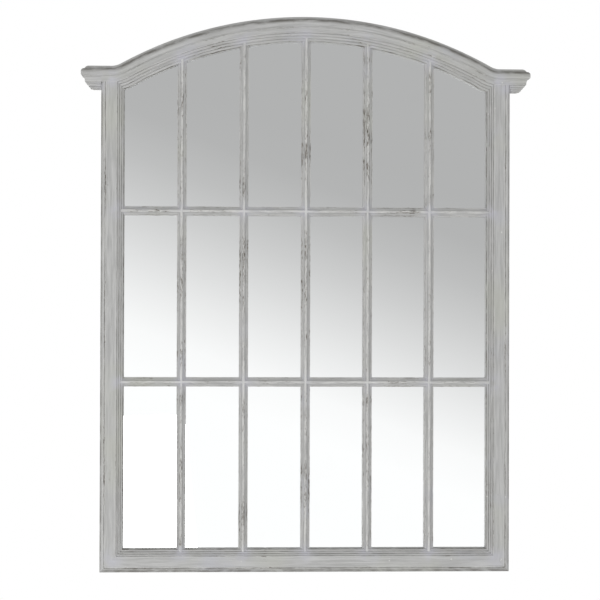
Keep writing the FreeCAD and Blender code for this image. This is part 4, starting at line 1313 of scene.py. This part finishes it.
@dataclass
class Head:
    """Arched head, crown moulding and ears."""

    arch_step: float = 5.0 * MM
    hollow_stations: int = 14
    ear_reach: float = 50 * MM
    ear_step: float = 4 * MM
    ear_nick: float = 5 * MM
    rail_offset: float = 10.0
    crown_offset: float = 14.0
    ear_offset: float = 20.0
    return_offset: float = 20.05
    paint: PaintFinish = PaintFinish("head paint", 0.62, 0.42)
    ear_paint: PaintFinish = PaintFinish("ear paint", 0.8, 0.3)

    def _path(self, start: Callable[[Spot], float], flat: bool) -> list[Callable[[Spot], Vector]]:
        """List the stations of a moulding that follows the outline of the head.

        Args:
            start: Angle about the hollow curve's centre at which each line of the section starts.
            flat: Whether the moulding runs on over the ears to a mitre.

        Returns:
            For each station, where a spot of the section lies.
        """
        plan = PLAN
        lean = plan.lean

        def on_hollow(share: float, sign: int) -> Callable[[Spot], Vector]:
            """Station on a hollow curve.

            Args:
                share: How far along the curve it lies, from the stile.
                sign: Side of the mirror.

            Returns:
                Where a spot of the section lies there.
            """
            def where(spot: Spot) -> Vector:
                """Place of a spot on the hollow curve.

                Args:
                    spot: Spot of the section.

                Returns:
                    The place.
                """
                angle = start(spot) + share * (lean - start(spot))
                radius = plan.ogee_radius + spot.depth
                return Vector((sign * (plan.ogee_x - radius * math.sin(angle)), front_y(spot.projection),
                               plan.ogee_level - radius * math.cos(angle)))
            return where

        def on_arch(angle: float) -> Callable[[Spot], Vector]:
            """Station on the arch.

            Args:
                angle: Angle about the arch's centre.

            Returns:
                Where a spot of the section lies there.
            """
            def where(spot: Spot) -> Vector:
                """Place of a spot on the arch.

                Args:
                    spot: Spot of the section.

                Returns:
                    The place.
                """
                radius = plan.arch_radius - spot.depth
                return Vector((radius * math.sin(angle), front_y(spot.projection),
                               plan.arch_level + radius * math.cos(angle)))
            return where

        def on_flat(share: float, sign: int) -> Callable[[Spot], Vector]:
            """Station on an ear's flat top, from the mitre inwards.

            Args:
                share: How far along the flat top it lies, from the mitre.
                sign: Side of the mirror.

            Returns:
                Where a spot of the section lies there.
            """
            def where(spot: Spot) -> Vector:
                """Place of a spot on the flat top.

                Args:
                    spot: Spot of the section.

                Returns:
                    The place.
                """
                outer = plan.side + spot.projection
                return Vector((sign * (outer + share * (plan.ogee_x - outer)), front_y(spot.projection),
                               plan.ear_level - spot.depth))
            return where

        hollows = [index / self.hollow_stations for index in range(self.hollow_stations)]
        arch = spaced(2 * lean * plan.arch_radius, self.arch_step)
        stations: list[Callable[[Spot], Vector]] = []
        flats = spaced(plan.side - plan.ogee_x + self.ear_reach, self.arch_step)[:-1] if flat else []
        stations += [on_flat(share, -1) for share in flats]
        stations += [on_hollow(share, -1) for share in hollows]
        stations += [on_arch(lean * (2 * share - 1)) for share in arch]
        stations += [on_hollow(share, 1) for share in reversed(hollows)]
        stations += [on_flat(share, 1) for share in reversed(flats)]
        return stations

    @staticmethod
    def _sweep(skin: Skin, spots: Sequence[Spot], stations: Sequence[Callable[[Spot], Vector]],
               offset: float) -> None:
        """Put a section at every station and join them.

        Args:
            skin: Mesh that the tube goes into.
            spots: The section.
            stations: Where a spot lies at each station.
            offset: Start of the length that the paint reads.
        """
        middle = Spot(20 * MM, 44 * MM)
        rings = []
        lengths = []
        along = offset
        before = stations[0](middle)
        for station in stations:
            rings.append([station(spot) for spot in spots])
            here = station(middle)
            along += (here - before).length
            before = here
            lengths.append(along)
        skin.tube(rings, spots, lengths)

    def _head_start(self, spot: Spot) -> float:
        """Angle at which a line of the head starts, at the joint with a stile.

        Args:
            spot: Spot of the head's section.

        Returns:
            Angle about the hollow curve's centre.
        """
        plan = PLAN
        radius = plan.ogee_radius + spot.depth
        if spot.depth <= plan.face_end:
            return math.asin((plan.ogee_x - plan.mitre_x) / radius)
        corner_level = plan.hollow_level(plan.sight_side, plan.head_width)
        mitre_level = plan.hollow_level(plan.mitre_x, plan.face_end)
        low, high = 0.0, 1.2
        for _ in range(30):
            share = (low + high) / 2
            across = plan.mitre_x - share * (plan.rail_width - plan.face_end)
            level = mitre_level + share * (corner_level - mitre_level)
            if math.hypot(plan.ogee_x - across, plan.ogee_level - level) < radius:
                low = share
            else:
                high = share
        return math.asin((plan.ogee_x - (plan.mitre_x - low * (plan.rail_width - plan.face_end))) / radius)

    def _rail(self) -> bpy.types.Object:
        """Build the arched head between the stiles.

        Returns:
            The head.
        """
        plan = PLAN
        corners = [Corner(0.0, 0.0), Corner(0.0, plan.crown_seat), Corner(plan.crown_width, plan.crown_seat)]
        # The lip at the sight edge is darkened as painted shadow.
        section = Section(tuple(corners + head_front(plan.head_reed_width) + rebated_back(plan.head_width)),
                          lip_from=plan.head_width - SHADOWED_LIP, lip_shadow=2.2)
        skin = Skin("painted_head")
        self._sweep(skin, section.spots(), self._path(self._head_start, False), self.rail_offset)
        return skin.build()

    def _crown(self) -> bpy.types.Object:
        """Build the crown moulding.

        Returns:
            The moulding.
        """
        plan = PLAN
        corners = (Corner(0.0, plan.crown_seat), *CROWN_FRONT, Corner(plan.crown_width, plan.crown_seat))
        # Painted shade in the crown's cove, about 10.5 mm in from its outer edge.
        section = Section(corners, shade_band=2.7, shade_band_at=10.5 * MM, shade_band_reach=5.5 * MM)
        skin = Skin("painted_crown")
        self._sweep(skin, section.spots(), self._path(lambda spot: 0.0, True), self.crown_offset)
        return skin.build()

    def _ear(self, side: Side) -> bpy.types.Object:
        """Build one ear: the moulding returned round a corner block.

        Args:
            side: Which ear.

        Returns:
            The ear.
        """
        plan = PLAN
        corners = (Corner(0.0, 0.0), *CROWN_FRONT, *head_front(plan.reed_width),
                   Corner(plan.ear_height, 0.0))
        # Painted shade in the cove of the ear's crown moulding.
        spots = Section(corners, front_from=-1.0, shade_band=2.0, shade_band_at=8 * MM, shade_band_reach=5 * MM).spots()
        skin = Skin(f"painted_ear_{side.word}", nick=self.ear_nick)
        rings = []
        lengths = []
        for share in spaced(self.ear_reach, self.ear_step):
            rings.append([Vector((side.value * (plan.side + spot.projection),
                                  front_y(share * spot.projection), plan.ear_level - spot.depth))
                          for spot in spots])
            lengths.append(self.ear_offset + side.value + share * self.ear_reach)
        tucked = [min(spot.projection, plan.crown_seat) if spot.depth < plan.crown_width else spot.projection
                  for spot in spots]
        for share in spaced(self.ear_reach, self.ear_step):
            rings.append([Vector((side.value * (plan.side + reach * (1 - share)), front_y(reach),
                                  plan.ear_level - spot.depth)) for spot, reach in zip(spots, tucked)])
            lengths.append(self.return_offset + side.value + share * self.ear_reach)
        skin.tube(rings, spots, lengths)
        return skin.build()

    def build(self) -> None:
        """Build and dress the head, the crown moulding and the ears."""
        material = self.paint.material()
        ear_material = self.ear_paint.material()
        settle(self._rail(), "painted_wood", material, ["head_rail"])
        settle(self._crown(), "painted_wood", material, ["crown_moulding"])
        for side in Side:
            settle(self._ear(side), "painted_wood", ear_material, [f"ear_{side.word}"])


@dataclass
class GlazingBars:
    """Five upright bars and two cross bars."""

    station: float = 4.5 * MM
    nick: float = 1.8 * MM
    first_offset: float = 30.0
    offset_step: float = 2.0
    paint: PaintFinish = PaintFinish("bar paint", 0.8, 0.28)

    def _tree(self, material: bpy.types.Material) -> GrowthTree:
        """Build the tree that sweeps the bars' section along a bar.

        Args:
            material: The bars' paint.

        Returns:
            The tree.
        """
        tree = GrowthTree("swept glazing bar", (
            ("Start", "NodeSocketFloat"), ("End", "NodeSocketFloat"), ("Centre", "NodeSocketFloat"),
            ("Arch Radius", "NodeSocketFloat"), ("Arch Level", "NodeSocketFloat"),
            ("Stations", "NodeSocketInt"), ("Offset", "NodeSocketFloat"), ("Lying", "NodeSocketBool")))
        graph, given = tree.graph, tree.given
        section = tree.node("GeometryNodeMeshToCurve", {"Mesh": given["Geometry"]})
        line = tree.node("GeometryNodeCurvePrimitiveLine", {"End": (0.0, 0.0, 1.0)})
        line = tree.node("GeometryNodeResampleCurve", {"Curve": line, "Count": given["Stations"]})
        factor = graph.add("GeometryNodeSplineParameter").outputs["Factor"]
        line = tree.stored(line, "share", factor)
        swept = tree.node("GeometryNodeCurveToMesh",
                          {"Curve": line, "Profile Curve": section, "Fill Caps": True})
        share, sideways = tree.named("share"), graph.plus(given["Centre"], tree.named("depth"))
        y = graph.less(-PLAN.stand_off, tree.named("reach"))
        across = graph.times(sideways, sideways)
        radius = graph.times(given["Arch Radius"], given["Arch Radius"])
        arch = graph.math("SQRT", graph.less(radius, across))
        head = graph.plus(arch, given["Arch Level"])
        length = graph.less(given["End"], given["Start"])
        rise = graph.less(head, given["Start"])
        up = graph.math("MULTIPLY_ADD", share, rise, third=given["Start"])
        run = graph.math("MULTIPLY_ADD", share, length, third=given["Start"])
        standing, lying = tree.vector(sideways, y, up), tree.vector(run, y, sideways)
        chosen = graph.add("GeometryNodeSwitch", input_type="VECTOR")
        for socket, source in zip(chosen.inputs, (given["Lying"], standing, lying)):
            graph.feed(socket, source)
        placed = tree.node("GeometryNodeSetPosition", {"Geometry": swept, "Position": chosen.outputs[0]})
        along = graph.math("MULTIPLY_ADD", share, length, third=given["Offset"])
        tree.end(tree.stored(placed, "along", along), material)
        return tree

    def build(self) -> None:
        """Build and dress the bars."""
        plan = PLAN
        material = self.paint.material()
        tree = self._tree(material)
        spots = bar_section().spots()
        places = [Vector((spot.depth, spot.projection, 0.0)) for spot in spots]
        section = carried_points("bar section", places, {
            "depth": [spot.depth for spot in spots], "reach": [spot.projection for spot in spots],
            "across": [spot.across for spot in spots], "ridge": [spot.ridge for spot in spots],
            "hollow": [spot.hollow for spot in spots], "steep": [spot.steep for spot in spots]}, closed=True)
        arch = {"Arch Radius": plan.arch_radius - plan.face_end, "Arch Level": plan.arch_level}
        bars = [(f"upright_{index + 1}", plan.bar_x(index), False) for index in range(plan.columns - 1)]
        bars += [("lower", plan.lower_bar, True), ("upper", plan.upper_bar, True)]
        for index, (word, centre, lying) in enumerate(bars):
            start, end = (-plan.mitre_x, plan.mitre_x) if lying else (plan.face_end - plan.top, plan.top)
            sizes = {"Start": start, "End": end, "Centre": centre, "Lying": lying,
                     "Offset": self.first_offset + self.offset_step * index,
                     "Stations": math.ceil((end - start) / self.station) + 1, **arch}
            skin = Skin(f"painted_bar_{word}", nick=self.nick)
            settle(skin.adopt(tree.grow(section, sizes)), "painted_wood", material, [f"glazing_bar_{word}"])


def dress(node: bpy.types.Object, material: bpy.types.Material) -> None:
    """Give a carried-over node a material.

    Args:
        node: The node's object.
        material: Its new material.
    """
    for slot in node.material_slots:
        slot.material = material


@dataclass
class Panes:
    """The mirror panes, which keep the shape of their nodes."""

    finish: MirrorFinish = MirrorFinish()

    def build(self, nodes: dict[str, bpy.types.Object]) -> None:
        """Dress the panes.

        Args:
            nodes: The frame's nodes by name.
        """
        material = self.finish.material()
        for name, node in nodes.items():
            if name.startswith("pane_"):
                dress(node, material)
        LOG.info("panes silvered")


def faced(mesh: bpy.types.Mesh, name: str) -> bpy.types.Object:
    """Turn every shell of a mesh outwards and put it in an object.

    Args:
        mesh: The mesh.
        name: Name of the object.

    Returns:
        The object.
    """
    work = bmesh.new()
    work.from_mesh(mesh)
    bmesh.ops.remove_doubles(work, verts=work.verts, dist=METAL_WELD)
    bmesh.ops.recalc_face_normals(work, faces=work.faces)
    shade(work, SHARP_METAL)
    work.to_mesh(mesh)
    work.free()
    return linked(name, mesh)


@dataclass
class Staples:
    """Wire staples all round the backing board, midway across the shoulder of its rebate."""

    wire: float = 1.2 * MM
    width: float = 11 * MM
    length: float = 15 * MM
    inset: float = 17 * MM
    side_count: int = 5
    bottom_count: int = 5
    arch_count: int = 6

    def _places(self) -> tuple[list[Vector], list[float]]:
        """Work out where the staples go.

        Returns:
            The middle of each crown, and how far each is turned in the wall's plane.
        """
        plan = PLAN
        side = plan.sight_side + self.inset
        rise = plan.hollow_level(plan.sight_side, plan.head_width) - plan.sight_bottom
        radius = plan.arch_radius - plan.head_width + self.inset
        spots: list[tuple[float, float, float]] = []
        for index in range(self.side_count):
            level = plan.sight_bottom + rise * (index + 0.5) / self.side_count
            spots += [(-side, level, math.pi / 2), (side, level, math.pi / 2)]
        for index in range(self.bottom_count):
            across = side * (2 * (index + 0.5) / self.bottom_count - 1)
            spots.append((across, plan.sight_bottom - self.inset, 0.0))
        for index in range(self.arch_count):
            lean = plan.lean * (2 * (index + 0.5) / self.arch_count - 1)
            spots.append((radius * math.sin(lean), plan.arch_level + radius * math.cos(lean), lean))
        return [Vector((x, -plan.stand_off, z)) for x, z, _ in spots], [turn for _, _, turn in spots]

    def build(self, finish: PlainFinish) -> None:
        """Build and dress the staples.

        Args:
            finish: Finish of the wire.
        """
        tree = GrowthTree("staples", (("Width", "NodeSocketFloat"), ("Wire", "NodeSocketFloat"),
                                      ("Length", "NodeSocketFloat")))
        graph, given = tree.graph, tree.given
        index = graph.add("GeometryNodeInputIndex").outputs[0]
        half = graph.times(graph.less(given["Width"], given["Wire"]), 0.5)
        sign = graph.math("MULTIPLY_ADD", graph.math("GREATER_THAN", index, 1.5), 2.0, third=-1.0)
        tip = graph.math("GREATER_THAN", graph.math("ABSOLUTE", graph.less(index, 1.5)), 1.0)
        crown = graph.times(given["Wire"], 0.5)
        drop = graph.plus(given["Length"], crown)
        y = graph.less(crown, graph.times(tip, drop))
        bends = tree.node("GeometryNodeMeshLine", {"Count": 4})
        bends = tree.node("GeometryNodeSetPosition", {
            "Geometry": bends, "Position": tree.vector(graph.times(sign, half), y, 0.0)})
        path = tree.node("GeometryNodeMeshToCurve", {"Mesh": bends})
        path = tree.node("GeometryNodeFilletCurve", {
            "Curve": path, "Radius": graph.times(given["Wire"], 0.8), "Count": 4}, mode="POLY")
        wire = tree.node("GeometryNodeCurvePrimitiveQuadrilateral",
                         {"Width": given["Wire"], "Height": given["Wire"]})
        bent = tree.node("GeometryNodeCurveToMesh",
                         {"Curve": path, "Profile Curve": wire, "Fill Caps": True})
        material = finish.material()
        tree.end(tree.scatter(bent, 0.0), material)
        places, turns = self._places()
        mesh = tree.grow(carried_points("staple places", places, {"turn": turns}), {
            "Width": self.width, "Wire": self.wire, "Length": self.length})
        settle(faced(mesh, "wire_staples"), "zinc_steel", material, ["staples"])


@dataclass
class StrapScrews:
    """Pan-headed screws of the hanger straps, with crossed recesses."""

    head: float = 3.6 * MM
    rise: float = 2.3 * MM
    shank: float = 2.0 * MM
    length: float = 22 * MM
    across: float = 534.25 * MM
    levels: tuple[float, float] = (400 * MM, 386 * MM)
    under_head: float = 5.8 * MM
    turns: tuple[float, ...] = (0.3, 1.1, 0.7, 0.1)
    arm_width: float = 0.13
    arm_reach: float = 0.6
    dome: float = 0.45
    recess: float = 0.5

    def build(self, finish: PlainFinish) -> None:
        """Build and dress the screws.

        Args:
            finish: Finish of the screws.
        """
        tree = GrowthTree("strap screws", (
            ("Head Radius", "NodeSocketFloat"), ("Head Rise", "NodeSocketFloat"),
            ("Shank Radius", "NodeSocketFloat"), ("Shank Length", "NodeSocketFloat")))
        graph, given = tree.graph, tree.given
        disc = tree.node("GeometryNodeMeshCylinder", {
            "Vertices": 24, "Side Segments": 2, "Fill Segments": 7, "Radius": given["Head Radius"],
            "Depth": given["Head Rise"]}, fill_type="TRIANGLE_FAN")
        parts = graph.add("ShaderNodeSeparateXYZ")
        graph.feed(parts.inputs[0], graph.add("GeometryNodeInputPosition").outputs[0])
        x, y, z = parts.outputs
        distance = graph.math("SQRT", graph.plus(graph.times(x, x), graph.times(y, y)))
        share = graph.math("DIVIDE", distance, given["Head Radius"])
        arm = graph.math("MINIMUM", graph.math("ABSOLUTE", x), graph.math("ABSOLUTE", y))
        arm = graph.math("LESS_THAN", graph.math("DIVIDE", arm, given["Head Radius"]), self.arm_width)
        recess = graph.times(arm, graph.math("LESS_THAN", share, self.arm_reach))
        dome = graph.times(graph.math("POWER", share, 3.0), self.dome)
        fall = graph.plus(dome, graph.times(recess, self.recess))
        top = graph.times(graph.math("GREATER_THAN", z, 0.0), given["Head Rise"])
        lift = graph.less(graph.times(given["Head Rise"], 0.5), graph.times(top, fall))
        shift = tree.vector(0.0, 0.0, lift)
        pan = tree.node("GeometryNodeSetPosition", {"Geometry": disc, "Offset": shift})
        stem = tree.node("GeometryNodeMeshCylinder", {
            "Vertices": 16, "Radius": given["Shank Radius"], "Depth": given["Shank Length"]})
        sunk = tree.vector(0.0, 0.0, graph.times(given["Shank Length"], -0.5))
        stem = tree.node("GeometryNodeTransform", {"Geometry": stem, "Translation": sunk})
        joined = graph.add("GeometryNodeJoinGeometry")
        for piece in (pan, stem):
            graph.feed(joined.inputs[0], piece)
        material = finish.material()
        tree.end(tree.scatter(joined.outputs[0], -math.pi / 2), material)
        places = [Vector((side.value * self.across, -self.under_head, level))
                  for side in Side for level in self.levels]
        mesh = tree.grow(carried_points("screw places", places, {"turn": self.turns}), {
            "Head Radius": self.head, "Head Rise": self.rise, "Shank Radius": self.shank,
            "Shank Length": self.length})
        settle(faced(mesh, "strap_screws"), "zinc_steel", material, ["hanger_screws"])


@dataclass
class Back:
    """Backing board, staples, hangers and bumpers."""

    def build(self, nodes: dict[str, bpy.types.Object]) -> None:
        """Build and dress what is on the back.

        Args:
            nodes: The frame's nodes by name.
        """
        finishes = (("backing_board", FIBREBOARD), ("mitre_spline", BARE_WOOD), ("hanger_strap", ZINC),
                    ("hanger_ring", ZINC), ("bumper_", FELT))
        for start, finish in finishes:
            material = finish.material()
            for name, node in nodes.items():
                if name.startswith(start):
                    dress(node, material)
            LOG.info("%s dressed as %s", start, finish.name)
        Staples().build(STAPLE_WIRE)
        StrapScrews().build(SCREW_STEEL)


@dataclass(frozen=True)
class Studio:
    """Camera, lamps, surroundings and floor."""

    eye: tuple[float, float, float] = (-0.237, -5.0, -0.061)
    yaw: float = 0.04457
    pitch: float = 0.00902
    roll: float = -0.00305
    focal: float = 1836.0
    image: float = 600.0
    sensor: float = 36.0
    ambient: float = 0.675
    key: float = 100.0
    key_place: tuple[float, float, float] = (-1.45, -4.7, -1.75)
    key_size: float = 2.4
    floor_level: float = -2.4
    mirrored_slant: float = 0.38
    mirrored_start: float = -0.0474
    mirrored_step: float = 0.0234
    mirrored: tuple[float, ...] = (1.0, 0.96, 0.846, 0.724, 0.611, 0.517, 0.457, 0.445)
    mirrored_reach: float = 0.16
    glass_loss: float = 0.94
    clip_end: float = 60.0
    floor_radius: float = 6.0
    floor_grey: float = 0.9

    def camera(self) -> None:
        """Place the camera at the photograph's view."""
        ahead = Vector((math.sin(self.yaw) * math.cos(self.pitch), math.cos(self.yaw) * math.cos(self.pitch),
                        math.sin(self.pitch)))
        right = Vector((math.cos(self.yaw), -math.sin(self.yaw), 0.0))
        down = ahead.cross(right)
        rolled = right * math.cos(self.roll) + down * math.sin(self.roll)
        below = down * math.cos(self.roll) - right * math.sin(self.roll)
        data = bpy.data.cameras.new("view")
        data.sensor_width = self.sensor
        data.lens = self.focal / self.image * self.sensor
        data.clip_end = self.clip_end
        camera = linked("view", data)
        turn = Matrix((rolled, -below, -ahead)).transposed()
        camera.matrix_world = Matrix.Translation(Vector(self.eye)) @ turn.to_4x4()
        bpy.context.scene.camera = camera

    def lamps(self) -> None:
        """Add the broad lamp, low on the left."""
        data = bpy.data.lights.new("low left lamp", "AREA")
        data.energy = self.key
        data.size = self.key_size
        lamp = linked("low left lamp", data)
        lamp.location = self.key_place
        lamp.rotation_euler = (-Vector(self.key_place)).to_track_quat("-Z", "Y").to_euler()

    @staticmethod
    def _light(graph: Graph, colour: object, strength: float) -> bpy.types.NodeSocket:
        """Add light of one colour and strength.

        Args:
            graph: Graph of the surroundings.
            colour: Colour, or the socket that gives it.
            strength: Strength of the light.

        Returns:
            The light.
        """
        node = graph.add("ShaderNodeBackground")
        graph.feed(node.inputs[0], colour)
        node.inputs[1].default_value = strength
        return node.outputs[0]

    @staticmethod
    def _either(graph: Graph, share: bpy.types.NodeSocket, first: bpy.types.NodeSocket,
                second: bpy.types.NodeSocket) -> bpy.types.NodeSocket:
        """Choose between two lights.

        Args:
            graph: Graph of the surroundings.
            share: 0 for the first light, 1 for the second.
            first: First light.
            second: Second light.

        Returns:
            The chosen light.
        """
        node = graph.add("ShaderNodeMixShader")
        for socket, source in zip(node.inputs, (share, first, second)):
            graph.feed(socket, source)
        return node.outputs[0]

    def surroundings(self) -> None:
        """White behind the object, plain light on it, and a room from white to grey in the panes."""
        world = bpy.data.worlds.new("surroundings")
        world.use_nodes = True
        bpy.context.scene.world = world
        world.node_tree.nodes.clear()
        graph = Graph(world.node_tree)
        out = graph.add("ShaderNodeOutputWorld")
        rays = graph.add("ShaderNodeLightPath")
        parts = graph.add("ShaderNodeSeparateXYZ")
        graph.feed(parts.inputs[0], graph.add("ShaderNodeTexCoord").outputs["Generated"])
        turned = graph.add("ShaderNodeClamp")
        graph.feed(turned.inputs[0], parts.outputs[0])
        turned.inputs[1].default_value = -self.mirrored_reach
        turned.inputs[2].default_value = self.mirrored_reach
        slant = graph.math("MULTIPLY_ADD", turned.outputs[0], self.mirrored_slant, third=parts.outputs[2])
        ramp = graph.add("ShaderNodeValToRGB")
        width = self.mirrored_step * (len(self.mirrored) - 1)
        risen = graph.less(slant, self.mirrored_start)
        graph.feed(ramp.inputs[0], graph.math("DIVIDE", risen, width))
        while len(ramp.color_ramp.elements) < len(self.mirrored):
            ramp.color_ramp.elements.new(0.5)
        for index, level in enumerate(self.mirrored):
            element = ramp.color_ramp.elements[index]
            element.position = index / (len(self.mirrored) - 1)
            element.color = (level, level, level, 1.0)
        white = (1.0, 1.0, 1.0)
        plain = self._light(graph, white, self.ambient)
        room = self._light(graph, ramp.outputs[0], 1.0 / self.glass_loss)
        shiny = graph.math("MAXIMUM", rays.outputs["Is Glossy Ray"], rays.outputs["Is Transmission Ray"])
        around = self._either(graph, shiny, plain, room)
        backdrop = self._light(graph, white, 1.0)
        graph.feed(out.inputs[0], self._either(graph, rays.outputs["Is Camera Ray"], around, backdrop))

    def floor(self) -> None:
        """Lay a plain pale floor well below the hanging mirror."""
        work = bmesh.new()
        bmesh.ops.create_circle(work, cap_ends=True, segments=96, radius=self.floor_radius)
        mesh = bpy.data.meshes.new("floor")
        work.to_mesh(mesh)
        work.free()
        floor = linked("floor", mesh)
        floor.location = (0.0, 0.0, self.floor_level)
        material, _, shader = new_material("pale floor")
        shader.inputs["Base Color"].default_value = (self.floor_grey,) * 3 + (1.0,)
        shader.inputs["Roughness"].default_value = 0.9
        mesh.materials.append(material)

    def build(self) -> None:
        """Set up the whole studio."""
        self.camera()
        self.lamps()
        self.surroundings()
        self.floor()
        bpy.context.scene.view_settings.view_transform = "Standard"
        LOG.info("studio ready")


def main() -> None:
    """Build every sub-assembly in order."""
    logging.basicConfig(level=logging.INFO, format="%(message)s")
    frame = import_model()
    PaintGroup()
    Frame().build()
    Head().build()
    GlazingBars().build()
    Panes().build(frame["nodes"])
    Back().build(frame["nodes"])
    Studio().build()


if __name__ == "__main__":
    main()
